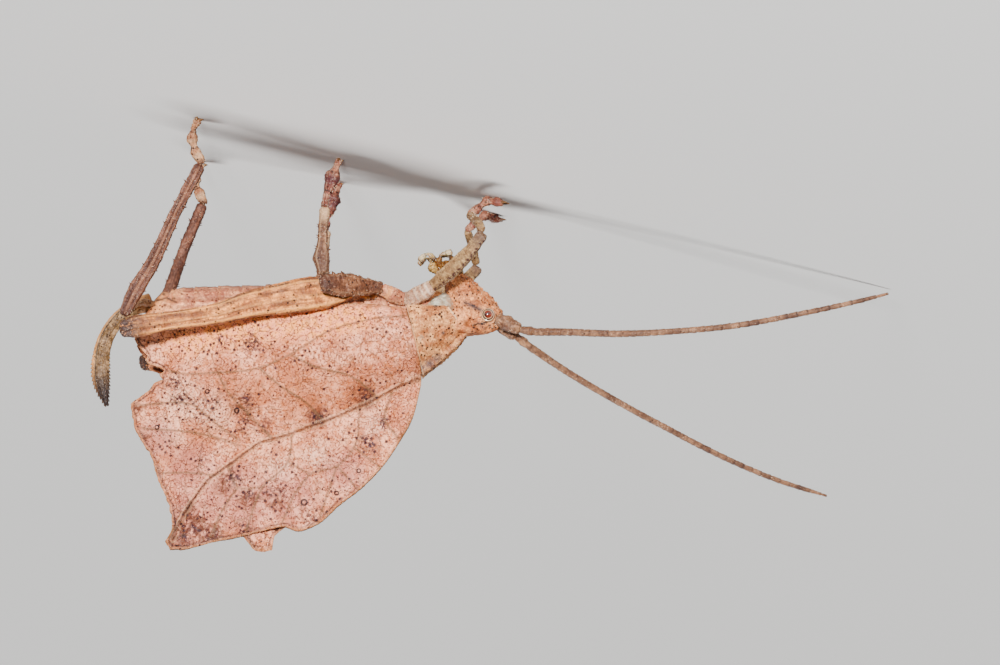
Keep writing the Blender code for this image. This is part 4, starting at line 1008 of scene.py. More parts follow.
@dataclass
class Head:
    """The head capsule with its crown, ridges, eyes and mouthparts."""

    # Centre x, z, half depth and half width, from the crown down the face
    stations: tuple = (
        (-7.78, 0.32, 0.42, 0.75), (-7.42, 0.00, 1.05, 1.35), (-6.84, -0.32, 1.38, 1.70),
        (-6.18, -0.84, 1.48, 1.88), (-5.53, -1.50, 1.43, 1.92), (-4.98, -2.26, 1.31, 1.82),
        (-4.64, -2.90, 1.10, 1.55), (-4.50, -3.32, 0.84, 1.30))
    crown: tuple = (
        (-7.75, 0.62, 0.20, 0.28), (-6.90, 0.78, 0.34, 0.60), (-5.95, 0.80, 0.42, 1.15),
        (-5.05, 0.86, 0.44, 1.45))
    cheek_ridge: tuple = ((-6.85, 0.27), (-6.15, 0.45), (-5.30, 0.62))
    face_ridge: tuple = (
        (-7.95, -0.55, -0.72), (-7.05, -0.95, -1.86), (-6.10, -1.02, -2.92), (-5.55, -0.80, -3.48))
    eye_streak: tuple = ((-6.91, -0.23), (-6.35, -0.55), (-5.71, -0.87), (-5.16, -1.11))
    # Distance of the eye's raised rim from its centre, and radius, half width and strength of its rings
    eye_rim: float = 0.63
    pale_rings: tuple = ((0.49, 0.05, 1.0), (0.34, 0.04, 0.55))
    dark_rings: tuple = ((0.55, 0.03, 1.0), (0.42, 0.04, 0.7))
    # How far the head's side lies from the midplane
    flank: float = 1.9
    # Where the back of the head passes into the pronotum: middle, direction, half depth and half width
    nape: tuple = ((-4.50, 0.15), (0.805, 0.594), 1.25, 1.63)

    def capsule(self) -> Surface:
        """The head's skin: a loft from the crown to the mouth with rims, ridges and grains.

        Returns:
            The surface.
        """
        grid = loft(midline(self.stations), 120, 160, 2.3, (0.35, 0.35))
        left = grid.left()
        eye = np.linalg.norm(left - np.array(EYE_CENTRE), axis=-1)
        root = np.linalg.norm(left - np.array(FEELER_ROOT), axis=-1)
        seen = seen_places(left, self.flank)
        cheek = distance(seen, np.array(self.cheek_ridge)) + 0.4 * np.clip(left[..., 1] + 0.5, 0.0, 1.0)
        face = distance(left, np.array(self.face_ridge))
        lift = 0.07 * hump(eye - self.eye_rim, 0.12) - 0.10 * hump(eye, 0.56)
        lift += 0.14 * hump(root - 0.66, 0.26)
        lift += 0.15 * hump(cheek, 0.20) - 0.09 * hump(cheek - 0.24, 0.16)
        lift += 0.12 * hump(face, 0.24) * (1.0 + 0.5 * np.sin(grid.lie[..., 0] * 9.0))
        lift += 0.30 * grid.ridge(90.0, 85.0) * grid.band(0.55, 0.38)
        lift += 0.028 * ripple(left, 0.75, 3) + 0.020 * ripple(left, 0.28, 4)
        grid.push(lift)
        side = hump(left[..., 1] + self.flank, 1.3)
        streak = hump(distance(seen, np.array(self.eye_streak)), 0.30) * side
        # Painted shadow: a dark line just below the cheek ridge, where the ridge's shade falls, laid into
        # the shade and dark marks.
        crease = distance(seen, np.array(self.cheek_ridge) + (0.0, 0.16))
        ridge_shadow = hump(crease, 0.24) * hump(left[..., 1] + 1.4, 1.7)
        return grid.surface(grid.hairs(300, 0.15, 1, 1.0 + 4.0 * hump(face, 0.3)),
                            shade=np.maximum(streak, 0.95 * ridge_shadow),
                            rim=0.25 * hump(eye - self.eye_rim, 0.07),
                            dark=np.maximum(0.5 * hump(eye - 0.57, 0.04), 0.8 * ridge_shadow**3))

    def crown_cone(self) -> Surface:
        """The blunt cone between the feelers, furrowed along its top.

        Returns:
            The surface.
        """
        grid = loft(midline(self.crown), 30, 48)
        grid.push(0.02 * ripple(grid.points, 0.4, 5) - 0.05 * grid.ridge(90.0, 30.0))
        return grid.surface(shade=0.35 * grid.ridge(90.0, 40.0))

    def back_of_head(self) -> Surface:
        """The smooth back of the head, which fills the front opening of the pronotum.

        Returns:
            The surface.
        """
        (x, z), (run, rise), depth, width = self.nape
        rows = [(x + run * t, z + rise * t, depth * size, width * size)
                for t, size in ((-1.7, 0.85), (-0.9, 0.97), (-0.1, 1.0), (0.7, 0.96))]
        grid = loft(midline(rows), 40, 80, 2.4)
        grid.push(0.03 * ripple(grid.points, 0.6, 10) + 0.015 * ripple(grid.points, 0.25, 11))
        return grid.surface()

    def eyeball(self) -> Surface:
        """A ball about the eye's centre, its axis pointing sideways, with a ring near its rim.

        Returns:
            The surface, on the left side.
        """
        x, y, z = EYE_CENTRE
        rows = [(x, y + step, z, EYE_RADIUS) for step in (0.02, -0.02)]
        grid = loft(round_stations(rows), 3, 64, 2.0, (1.0, 1.0), (1.0, 0.0, 0.0), 22)
        out = np.hypot(grid.points[..., 0] - x, grid.points[..., 2] - z)
        pale, dark = [[strength * hump(out - radius, width) for radius, width, strength in rings]
                      for rings in (self.pale_rings, self.dark_rings)]
        return grid.surface(rim=grid.strongest(pale), dark=grid.strongest(dark))

    def build(self, bench: Workbench) -> None:
        """Makes the capsule and both eyes.

        Args:
            bench: Makes the pieces.
        """
        skull = joined([self.capsule(), self.crown_cone(), self.back_of_head()])
        bench.piece("head_capsule", skull, HEAD_SKIN, "head", ("head",))
        for word, side in SIDES.items():
            bench.piece(f"eyeball_{word}", self.eyeball().on(side), EyeGloss(), "eye", (f"eye_{word}",))


@dataclass
class Feelers:
    """Both antennae: a thick scape, a pedicel and a long whip of ringed joints."""

    scape_halves: tuple = (0.42, 0.58, 0.48)
    scape_tips: dict = field(default_factory=lambda: {
        LEFT: (-9.50, -0.90, 0.88), RIGHT: (-9.28, 0.98, 1.12)})
    # Share of the way along the pedicel, and half width there
    pedicel_halves: tuple = (
        (-0.18, 0.24), (0.15, 0.27), (0.42, 0.31), (0.72, 0.37), (0.96, 0.31), (1.3, 0.28))
    pedicel_tips: dict = field(default_factory=lambda: {
        LEFT: (-10.72, -0.97, 1.06), RIGHT: (-10.20, 1.15, 1.78)})
    whips: dict = field(default_factory=lambda: {
        LEFT: ((-11.06, -0.98, 1.09), (-12.8, -1.05, 1.10), (-17.5, -1.2, 1.25), (-22.3, -1.3, 1.03),
               (-27.1, -1.4, 0.55), (-31.9, -1.5, -0.34), (-35.9, -1.6, -1.20), (-39.0, -1.6, -1.98)),
        RIGHT: ((-10.48, 1.27, 1.98), (-12.9, 2.2, 3.47), (-17.8, 4.0, 6.1), (-22.0, 5.6, 8.1),
                (-26.2, 7.2, 10.0), (-30.8, 9.0, 11.7), (-35.2, 10.8, 12.85))})
    whip_radii: tuple = ((0.0, 0.31), (0.10, 0.28), (0.35, 0.25), (0.75, 0.22), (0.93, 0.18), (1.0, 0.09))
    joint: float = 0.42

    def scape(self, side: float) -> Surface:
        """The scape and pedicel, lumpy, with a tubercle on the scape and a waist between them.

        Args:
            side: LEFT or RIGHT.

        Returns:
            The surface.
        """
        root = np.array(FEELER_ROOT) * (1.0, -side, 1.0)
        tip, end = np.array(self.scape_tips[side]), np.array(self.pedicel_tips[side])
        places = (root + (0.25, 0.0, -0.15), root + (tip - root) * 0.5, root + (tip - root) * 0.88)
        rows = [(*place, half) for place, half in zip(places, self.scape_halves)]
        scape = loft(round_stations(rows), 44, 48, 2.2)
        lump = np.linalg.norm(scape.points - (root + (tip - root) * 0.62 + (0.1, 0.0, -0.45)), axis=-1)
        lift = 0.10 * hump(lump, 0.5) + 0.03 * ripple(scape.points, 0.6, 6)
        scape.push(lift + 0.02 * ripple(scape.points, 0.25, 7))
        rows = [(*(tip + (end - tip) * share), half) for share, half in self.pedicel_halves]
        pedicel = loft(round_stations(rows), 40, 40)
        pedicel.push(0.02 * ripple(pedicel.points, 0.35, 8))
        rim = {"shade": 0.4 * pedicel.band(0.9, 0.1), "dark": 0.4 * pedicel.band(0.12, 0.08)}
        return joined([scape.surface(scape.hairs(90, 0.12, 3), shade=0.5 * scape.ridge(-90.0, 60.0)),
                       pedicel.surface(**rim)])

    def whip(self, side: float) -> Surface:
        """The flagellum: a tapered tube whose joints swell and end in a darker ring.

        The half width is read off the radii along the length and swells by a saw wave, one tooth a
        joint. The joints grow longer towards the tip.

        Args:
            side: LEFT or RIGHT.

        Returns:
            The surface.
        """
        course = spline(np.array(self.whips[side], float), 300)
        share = np.linspace(0.0, 1.0, len(course))
        half = np.interp(share, *zip(*self.whip_radii))
        grid = loft(np.column_stack([course, half, half]), 900, 14)
        length = grid.lie[..., 0]
        phase = (length / (self.joint * (1.0 + 0.02 * np.clip(length, 0.0, None)))) % 1.0
        grid.push(0.022 * phase**2 - 0.02 * (phase < 0.12) + 0.01 * ripple(grid.points, 0.3, 9))
        along = np.clip(length / length.max(), 0.0, 1.0)
        ringed = (phase > 0.80) * np.clip(along * 1.6 - 0.1, 0.0, 1.0)
        slow = 0.5 + 0.5 * np.sin(length * 2.1)
        return grid.surface(grid.hairs(350, 0.08, 4), dark=0.45 * ringed, rim=0.35 * slow * along,
                            shade=0.5 * (1 - slow) * (0.4 + along))

    def build(self, bench: Workbench) -> None:
        """Makes both feelers.

        Args:
            bench: Makes the pieces.
        """
        for word, side in SIDES.items():
            bench.piece(f"feeler_base_{word}", self.scape(side), FEELER_SKIN, "antenna", (f"scape_{word}",))
            bench.piece(f"feeler_whip_{word}", self.whip(side), FEELER_SKIN, "antenna",
                        (f"flagellum_base_{word}", f"flagellum_tip_{word}"))


@dataclass
class Mouth:
    """The parts below the face: lip, jaws and two pairs of jointed palps."""

    block: tuple = (
        (-4.75, -4.00, 0.38, 0.90), (-3.90, -4.15, 0.55, 0.88), (-3.10, -4.15, 0.55, 0.72),
        (-2.55, -4.25, 0.34, 0.46))
    lip: tuple = (
        (-4.90, -3.75, 0.20, 0.72), (-4.72, -4.45, 0.20, 0.64), (-4.50, -4.85, 0.18, 0.60),
        (-4.20, -5.08, 0.12, 0.36))
    jaw: tuple = (
        (-4.25, -0.80, -3.70, 0.40, 0.34), (-4.25, -0.72, -4.45, 0.36, 0.32),
        (-4.10, -0.38, -5.00, 0.20, 0.20))
    upper_palp: tuple = (
        (-3.30, -0.66, -4.2, 0.20), (-2.95, -0.86, -4.6, 0.21), (-2.70, -1.00, -4.9, 0.12),
        (-2.45, -1.04, -5.05, 0.20), (-2.10, -1.05, -5.15, 0.12), (-1.90, -1.00, -5.02, 0.19),
        (-1.62, -0.95, -4.78, 0.25))
    lower_palp: tuple = (
        (-3.00, -0.35, -4.5, 0.18), (-3.15, -0.45, -4.85, 0.21), (-3.30, -0.50, -5.20, 0.12),
        (-3.62, -0.50, -5.35, 0.19), (-4.02, -0.50, -5.43, 0.24))

    def palp(self, course: tuple) -> Surface:
        """A jointed palp, narrow at its joints and pale at its swollen end.

        Args:
            course: Rows of x, y, z and radius.

        Returns:
            The surface, on the left side.
        """
        grid = loft(round_stations(course), 60, 28)
        grid.push(0.025 * ripple(grid.points, 0.35, 12))
        pale = np.clip(grid.share * 1.8 - 0.7, 0.0, 0.8) * (1.0 - 0.85 * grid.band(1.0, 0.14))
        narrow = np.maximum(grid.band(0.42, 0.05), grid.band(0.72, 0.05))
        return grid.surface(rim=pale, shade=0.7 * narrow, dark=0.35 * narrow)

    def build(self, bench: Workbench) -> None:
        """Makes the mouthparts as one piece.

        Args:
            bench: Makes the piece.
        """
        block = loft(midline(self.block), 40, 60, 2.4)
        block.push(0.08 * ripple(block.points, 0.9, 13) + 0.05 * ripple(block.points, 0.35, 14))
        lip = loft(midline(self.lip), 40, 48, 2.6)
        lip.push(0.02 * ripple(lip.points, 0.4, 15) - 0.05 * lip.band(0.42, 0.05))
        parts = [block.surface(shade=0.5 * block.band(0.2, 0.3)),
                 lip.surface(rim=0.4 * lip.band(0.75, 0.3), dark=0.5 * lip.band(0.42, 0.06))]
        for side in SIDES.values():
            jaw = loft(self.jaw, 30, 30)
            parts.append(jaw.surface(shade=0.9 * jaw.band(0.9, 0.35)).on(side))
            parts += [self.palp(course).on(side) for course in (self.upper_palp, self.lower_palp)]
        bench.piece("mouth_and_palps", joined(parts), MOUTH_SKIN, "mouthparts", ("mouthparts",))


# Pronotum, thorax and abdomen

@dataclass
class Pronotum:
    """The saddle-shaped shield, with toothed edges to its flat top and a pale rim."""

    # Top x, z, bottom x, z and half width, from the front rim to the rear rim
    sections: tuple = (
        (-5.30, 1.20, -3.75, -0.90, 1.75), (-4.75, 1.95, -3.20, -0.95, 2.05),
        (-4.05, 2.70, -2.45, -0.95, 2.35), (-3.25, 3.42, -1.70, -0.95, 2.60),
        (-2.45, 4.02, -1.00, -0.95, 2.78), (-2.12, 4.28, -0.74, -0.92, 2.82),
        (-1.78, 4.56, -0.42, -0.90, 2.97))
    # How far the shield's side lies from the midplane
    flank: float = 2.6
    # Half outline of a section: share of the half width, share of the height
    profile: tuple = (
        (0.0, 0.0), (0.55, 0.0), (0.92, 0.04), (1.0, 0.16), (0.97, 0.38), (0.80, 0.66), (0.42, 0.93),
        (0.41, 1.0), (0.23, 0.985), (0.0, 0.975))
    dark_dots: tuple = (
        (-2.11, 1.70, 0.15), (-2.35, 1.70, 0.12), (-2.11, 0.18, 0.09), (-1.49, 0.55, 0.10),
        (-2.64, -0.04, 0.08), (-3.31, 0.26, 0.09), (-3.57, 0.97, 0.10), (-3.39, 1.44, 0.13),
        (-4.00, 1.49, 0.09), (-1.87, 2.37, 0.08), (-4.62, 0.72, 0.12), (-4.12, 0.85, 0.08),
        (-1.12, -0.36, 0.09), (-2.86, -0.74, 0.12))
    shades: tuple = (
        (-1.75, 4.30, 0.7), (-2.92, 3.49, 0.7), (-2.30, 3.95, 0.8), (-2.81, -0.80, 0.35),
        (-2.28, -1.05, 0.35), (-3.39, 1.44, 0.25))

    def build(self, bench: Workbench) -> None:
        """Carries the outline from the front rim to the rear rim, and turns both rims inwards.

        A point of the outline lies at its share of the way from the bottom to the top of its
        section, and its share of the half width to the side.

        Args:
            bench: Makes the piece.
        """
        outline = np.array(self.profile + tuple((-across, up) for across, up in self.profile[-2:0:-1]))
        outline = closed_outline(outline, 200, 0.3)
        rows = spline(np.array([(tx, 0.0, tz, lx, lz, half) for tx, tz, lx, lz, half in self.sections]), 90)
        top, low, half = rows[:, [0, 2]], rows[:, [3, 4]], rows[:, 5]
        flat = low[:, None] + (top - low)[:, None] * outline[None, :, 1:]
        points = np.stack([flat[..., 0], outline[None, :, 0] * half[:, None], flat[..., 1]], axis=-1)
        grid = Grid(points, points.copy())
        height = np.broadcast_to(outline[None, :, 1], points.shape[:2])
        across = np.broadcast_to(np.abs(outline[None, :, 0]), points.shape[:2])
        along = np.broadcast_to(grid.share, points.shape[:2])
        edge = hump(np.hypot((across - 0.42) * 3.0, (height - 0.97) * 4.0), 0.34)
        teeth = np.clip(np.sin(along * 2 * math.pi * 13.5), 0.0, 1.0) ** 2
        front, rear = hump(along, 0.045), hump(1.0 - along, 0.035)
        skirt = hump(height, 0.05) * (across > 0.5)
        lift = edge * (0.09 + 0.06 * teeth) + 0.05 * np.maximum(front, rear)
        lift = lift - 0.07 * hump(along - 0.56 + 0.06 * height, 0.035) * (height > 0.35)
        lift = lift + 0.035 * ripple(points, 1.0, 21) + 0.016 * ripple(points, 0.3, 22)
        grid.push(lift)
        inwards = []
        for row, sign in ((0, 1.0), (-1, -1.0)):
            rim = grid.points[row]
            middle = rim.mean(axis=0)
            back = np.array((0.75, 0.0, 0.35)) * sign
            rings = [middle + (rim - middle) * size + back * depth
                     for size, depth in ((0.955, 0.02), (0.93, 0.20), (0.90, 0.9), (0.5, 1.1), (0.1, 1.1))]
            inwards.append(np.array(rings[::-1] if row == 0 else rings))
        left = grid.left()
        plan = seen_places(left, self.flank)
        side = across > 0.5
        marks = {"rim": np.maximum(0.8 * front * (height < 0.62), np.maximum(0.30 * rear, 0.45 * skirt)),
                 "dark": dots(plan, self.dark_dots) * side,
                 "shade": np.maximum(dots(plan, self.shades), 0.30 * edge + 0.3 * edge * teeth)}
        whole = Grid(np.concatenate([inwards[0], grid.points, inwards[1]]),
                     np.concatenate([inwards[0], grid.lie, inwards[1]]))
        padded = {name: np.pad(values, ((len(inwards[0]), len(inwards[1])), (0, 0)), mode="edge")
                  for name, values in marks.items()}
        down = whole.hairs(300, 0.13, 2, padded["shade"] + 0.4)
        shield = whole.surface(down, **padded)
        bench.piece("pronotum_shield", shield, PRONOTUM_SKIN, "pronotum", ("pronotum",))


@dataclass
class Trunk:
    """The thorax with its soft neck, and the ringed abdomen."""

    # Centre x, z, half depth and half width
    thorax: tuple = (
        (-3.55, -1.75, 0.35, 0.80), (-2.6, -1.65, 0.75, 1.35), (-1.6, -0.9, 1.75, 1.60),
        (-0.4, 0.1, 2.70, 1.75), (0.9, 0.2, 2.85, 2.00), (2.2, 0.1, 2.80, 2.05), (3.6, 0.0, 2.70, 2.02))
    neck: tuple = (
        (-5.10, -1.50, 0.75, 1.10), (-4.20, -1.25, 1.00, 1.40), (-3.20, -0.90, 1.25, 1.70),
        (-2.20, -0.50, 1.40, 1.70))
    # Share of the length, centre z, half depth and half width
    abdomen: tuple = (
        (0.00, -0.05, 2.75, 2.05), (0.25, 0.00, 2.85, 2.20), (0.50, 0.10, 2.80, 2.15),
        (0.72, 0.10, 2.70, 1.90), (0.88, 0.00, 2.50, 1.45), (0.97, -0.40, 2.05, 1.05),
        (1.00, -0.80, 1.60, 0.80))
    abdomen_start: float = 3.4
    abdomen_end: float = 19.75
    abdomen_rings: int = 9
    # Places of the seams between the thorax's plates, in x where they cross its middle
    seams: tuple = (-0.55, 1.25, 1.9)
    # A dark line and dots on the abdomen's last rings
    tail_line: tuple = ((20.5, -1.25), (19.2, -1.43), (18.6, -1.62), (17.8, -1.16))
    tail_dots: tuple = (
        (20.18, -0.52, 0.10), (19.58, -0.42, 0.10), (19.17, -1.90, 0.10), (18.85, -1.95, 0.12),
        (17.98, -1.53, 0.11), (19.54, -0.98, 0.10), (18.71, -0.98, 0.12), (18.26, -0.80, 0.09),
        (19.72, -1.53, 0.09), (17.40, -1.90, 0.10), (16.80, -1.60, 0.09), (16.10, -2.00, 0.10))
    tail_dot_size: float = 1.6

    def soft_neck(self) -> Surface:
        """The folded skin between the head and the thorax, darker near the head.

        Returns:
            The surface.
        """
        grid = loft(midline(self.neck), 50, 60)
        folds = np.sin(grid.lie[..., 0] * 6.0 + 0.8 * ripple(grid.points, 1.2, 31))
        grid.push(0.02 * folds + 0.015 * ripple(grid.points, 0.9, 32))
        near_head = 0.9 * np.clip((-3.4 - grid.points[..., 0]) / 0.7, 0.0, 1.0)
        return grid.surface(shade=np.maximum(0.35 * np.clip(-folds, 0.0, 1.0), near_head))

    def chest(self) -> Surface:
        """The thorax, with leaning seams between its plates.

        Returns:
            The surface.
        """
        grid = loft(midline(self.thorax), 90, 90, 2.2, (0.2, 0.2))
        seams = np.zeros(grid.points.shape[:2])
        for x in self.seams:
            seams = np.maximum(seams, hump(grid.points[..., 0] - x - 0.25 * grid.points[..., 2], 0.14))
        grid.push(0.05 * ripple(grid.points, 1.3, 33) + 0.02 * ripple(grid.points, 0.4, 34) - 0.08 * seams)
        soft = hump(grid.points[..., 0] + 3.6, 1.6)
        return grid.surface(grid.hairs(250, 0.14, 6), shade=0.6 * seams, rim=0.7 * soft)

    def belly(self) -> Surface:
        """The abdomen: each ring swells by a power of the share of its length and ends in a groove.

        Returns:
            The surface.
        """
        share, *columns = [np.array(column) for column in zip(*self.abdomen)]
        at = np.linspace(0.0, 1.0, 24)
        z, depth, width = [np.interp(at, share, column) for column in columns]
        x = self.abdomen_start + (self.abdomen_end - self.abdomen_start) * at
        grid = loft(midline(zip(x, z, depth, width)), 220, 110, 2.1, (0.2, 0.25))
        phase = (grid.share * self.abdomen_rings) % 1.0
        plate = 0.07 * phase**1.5 - 0.06 * hump(phase, 0.10)
        fold = grid.ridge(-35.0, 9.0) + grid.ridge(215.0, 9.0)
        keel = grid.ridge(-90.0, 14.0)
        grid.push(plate - 0.10 * fold + 0.04 * keel + 0.03 * ripple(grid.points, 1.1, 35)
                  + 0.012 * ripple(grid.points, 0.35, 36))
        hem = hump(phase - 0.90, 0.10) * np.ones_like(fold)
        late = np.clip((grid.share - 0.80) * 7.0, 0.0, 1.0)
        plan = grid.left()[..., [0, 2]]
        spots = dots(plan, tuple((a, b, self.tail_dot_size * radius) for a, b, radius in self.tail_dots))
        tail = np.maximum(0.9 * hump(distance(plan, np.array(self.tail_line)), 0.17), spots)
        gold = 0.45 * late * np.clip(0.7 + 0.4 * ripple(grid.points, 0.9, 38), 0.0, 1.0)
        return grid.surface(grid.hairs(350, 0.13, 5), rim=np.maximum(0.12 * hem, gold),
                            shade=np.maximum(0.5 * fold, 0.9 * grid.ridge(-90.0, 46.0)),
                            dark=np.maximum(0.12 * hump(phase, 0.05), tail))

    def build(self, bench: Workbench) -> None:
        """Makes the neck, the thorax and the abdomen.

        Args:
            bench: Makes the pieces.
        """
        bench.piece("neck_membrane", self.soft_neck(), NECK_SKIN, "body")
        bench.piece("thorax_plates", self.chest(), BODY_SKIN, "body", ("thorax",))
        bench.piece("abdomen_rings", self.belly(), BODY_SKIN, "body", ("abdomen",))


@dataclass
class TailParts:
    """The sickle-shaped ovipositor and the two short cerci."""

    # Centre x, z, half depth and half thickness along the blade
    blade: tuple = (
        (20.00, -1.30, 0.80, 0.62), (20.57, -1.20, 0.70, 0.50), (21.55, -0.75, 0.62, 0.43),
        (22.30, -0.16, 0.60, 0.40), (22.88, 0.52, 0.60, 0.37), (23.31, 1.24, 0.61, 0.35),
        (23.64, 2.15, 0.64, 0.32), (23.81, 3.15, 0.66, 0.30), (23.84, 4.05, 0.67, 0.27),
        (23.79, 4.85, 0.64, 0.24), (23.64, 5.70, 0.48, 0.20), (23.46, 6.40, 0.27, 0.16),
        (23.34, 6.85, 0.12, 0.10))
    cercus: tuple = (
        (19.80, -0.75, -1.12, 0.30), (20.55, -1.10, -1.20, 0.26), (21.05, -1.10, -1.00, 0.21),
        (21.45, -0.92, -0.62, 0.10))
    tooth: float = 0.30
    toothed_from: float = 0.52

    def sickle(self) -> Surface:
        """The blade, with a groove between its valves, and teeth as a saw wave of its length.

        Returns:
            The surface.
        """
        grid = loft(midline(self.blade), 420, 72, 2.5, (0.4, 0.8))
        length = grid.lie[..., 0]
        share = np.clip(length / length.max(), 0.0, 1.0)
        saw = (length / self.tooth) % 1.0
        edge = np.maximum(grid.ridge(90.0, 32.0), grid.ridge(-90.0, 32.0))
        toothed = np.clip((share - self.toothed_from) * 6.0, 0.0, 1.0)
        # The level across the blade, from -1 at its inner edge to 1 at its outer one
        level = np.sin(grid.turn) * np.ones_like(share)
        groove = hump(level + 0.42, 0.14) + 0.6 * hump(level - 0.55 + 0.25 * share, 0.08)
        past_base = np.clip((share - 0.07) * 14.0, 0.0, 1.0)
        worn = np.clip(0.55 + 0.75 * ripple(grid.points, 0.8, 43), 0.0, 1.0) * past_base
        ribs = np.sin(length * 29.0 + 1.2 * level) * hump(level - 0.05, 0.55) * worn
        grid.push(0.15 * saw * edge * toothed - 0.07 * groove * (share > 0.06) + 0.005 * ribs
                  + 0.012 * ripple(grid.points, 0.5, 41))
        tip = np.clip((share - 0.66) * 4.0, 0.0, 1.0)
        outer = hump(level + 0.92, 0.36) * (1.0 - 0.8 * tip)
        seam = 0.95 * hump(level + 0.50, 0.12) * past_base
        return grid.surface(dark=np.maximum((1.0 - 0.30 * saw) * tip, seam),
                            rim=np.maximum(0.90 * outer, 0.85 * (1.0 - past_base)),
                            shade=np.maximum(0.95 * tip, 0.55 * np.clip(ribs, 0.0, 1.0)))

    def horn(self) -> Surface:
        """The left cercus, a short curved cone with a dark point.

        Returns:
            The surface.
        """
        grid = loft(round_stations(self.cercus), 50, 32, across=(0.0, 0.0, 1.0))
        grid.push(0.012 * ripple(grid.points, 0.3, 42))
        return grid.surface(grid.hairs(60, 0.2, 7), dark=0.5 * grid.band(1.0, 0.06))

    def build(self, bench: Workbench) -> None:
        """Makes the blade and both cerci.

        Args:
            bench: Makes the pieces.
        """
        bench.piece("ovipositor_blade", self.sickle(), BLADE_SKIN, "ovipositor", ("ovipositor",))
        for word, side in SIDES.items():
            bench.piece(f"cercus_skin_{word}", self.horn().on(side), CERCUS_SKIN, "cercus",
                        (f"cercus_{word}",))


# Wings

@dataclass
class LeafWing:
    """One upright forewing, shaped and veined like a torn dead leaf."""

    side: float
    centre: tuple = (10.0, 5.0)
    sheet: float = 0.5
    skin: float = 0.20
    clearance: float = 0.2
    widest: float = 0.8
    rings_out: int = 104
    rings_in: int = 40
    around: int = 640
    costal: tuple = (
        (2.0, -0.80), (4.2, -0.85), (8.0, -0.70), (11.2, -0.40), (15.0, 0.15), (18.5, 0.75), (20.7, 1.20))
    rear: tuple = (
        (21.1, 1.9), (20.5, 2.75), (20.0, 3.25), (20.2, 3.5), (19.9, 3.9), (19.5, 4.0), (18.65, 4.4),
        (19.05, 4.7), (18.8, 5.1), (19.4, 5.35), (19.9, 5.95), (20.7, 6.5), (21.35, 7.0), (21.2, 8.0),
        (21.0, 8.9), (20.5, 9.8), (19.75, 11.0), (19.25, 12.7), (18.4, 14.6), (18.05, 16.0), (18.05, 16.9),
        (18.55, 17.8), (18.2, 18.45), (17.1, 18.45))
    lower_left: tuple = ((15.0, 17.95), (12.5, 17.4), (10.0, 16.8))
    lower_right: tuple = (
        (15.0, 17.9), (12.4, 17.4), (12.0, 17.9), (11.6, 18.4), (11.0, 18.6), (10.1, 18.45), (9.9, 17.3))
    lobe: tuple = (
        (9.1, 16.65), (8.7, 16.8), (8.0, 17.0), (7.3, 16.8), (6.3, 16.3), (4.9, 15.0), (3.0, 13.5),
        (1.25, 11.65), (0.0, 9.8), (-0.95, 8.1), (-1.5, 6.1))
    front: tuple = ((-1.72, 4.75), (-1.42, 2.8), (-0.96, 1.2), (-0.42, -0.50))
    midrib: tuple = (
        (-1.51, 4.78), (0.0, 5.41), (2.38, 6.69), (4.37, 7.57), (6.35, 8.38), (7.7, 8.86), (9.52, 9.51),
        (11.27, 10.07), (12.69, 11.11), (14.1, 12.15), (15.21, 12.95), (15.99, 13.99), (16.61, 14.87),
        (17.31, 16.14), (17.93, 17.73))
    upper_vein: tuple = (
        (-0.29, 0.13), (2.41, 0.46), (5.57, 1.34), (8.89, 3.32), (11.49, 4.33), (14.66, 4.64),
        (17.19, 4.69), (18.39, 4.44))
    branches: tuple = (
        ((12.7, 9.8), (15.05, 8.2), (16.0, 7.35), (20.9, 7.1)), ((12.7, 10.2), (15.5, 9.4), (20.4, 8.9)),
        ((14.6, 12.6), (16.6, 12.4), (18.8, 12.4)), ((10.2, 9.6), (11.9, 7.9), (13.8, 5.9), (14.4, 4.7)),
        ((6.0, 8.2), (7.7, 6.7), (9.4, 5.7), (11.0, 4.4)), ((1.8, 6.3), (3.8, 4.9), (6.9, 4.1), (8.6, 3.3)),
        ((8.55, 9.3), (8.9, 11.5), (10.85, 13.5), (12.15, 17.0)),
        ((13.6, 12.0), (12.8, 13.5), (10.85, 13.5)), ((12.8, 13.5), (13.85, 15.0), (15.0, 17.5)),
        ((3.2, 7.2), (3.65, 10.3), (5.0, 11.8), (7.1, 12.5), (8.15, 13.75), (9.3, 16.3)),
        ((5.0, 11.8), (6.35, 15.9)), ((3.65, 10.3), (1.6, 11.9)), ((5.0, 11.8), (3.4, 13.6)),
        ((7.1, 12.5), (8.9, 11.5)), ((0.65, 6.0), (1.2, 8.1), (0.15, 9.6)))
    dark_lines: tuple = (((15.63, 9.93), (15.88, 11.24), (16.08, 12.48)), ((13.44, 12.48), (13.05, 13.38)))
    # Place in the wing's plane and radius of each dark purple stain
    purples: tuple = (
        (6.64, 7.98, 0.85), (5.95, 7.75, 0.6), (2.69, 6.36, 0.9), (2.54, 9.93, 0.9), (12.12, 6.68, 0.45),
        (12.20, 8.36, 0.7), (12.10, 7.60, 0.4), (11.17, 7.63, 0.35), (10.72, 8.85, 0.6),
        (13.30, 12.74, 0.8), (11.91, 14.15, 0.65), (10.45, 14.01, 0.5), (9.42, 14.01, 0.5),
        (6.91, 15.97, 0.8), (17.17, 17.35, 0.6), (16.11, 16.88, 0.6), (17.5, 6.6, 0.8), (14.7, 6.8, 0.7),
        (17.7, 5.3, 0.7), (1.3, 8.2, 0.6), (16.9, 15.2, 0.5), (14.9, 17.3, 0.7), (12.3, 16.8, 0.7),
        (11.6, 2.4, 0.9), (14.0, 2.2, 0.7))
    stain_size: float = 1.35
    # Brown zones
    browns: tuple = (
        (12.7, 6.0, 3.0), (9.5, 5.4, 3.4), (6.3, 5.9, 3.0), (7.9, 7.2, 2.4), (19.4, 9.9, 2.2),
        (17.4, 11.6, 2.6), (17.2, 16.6, 2.0), (3.0, 6.2, 2.0), (15.4, 9.6, 1.8))
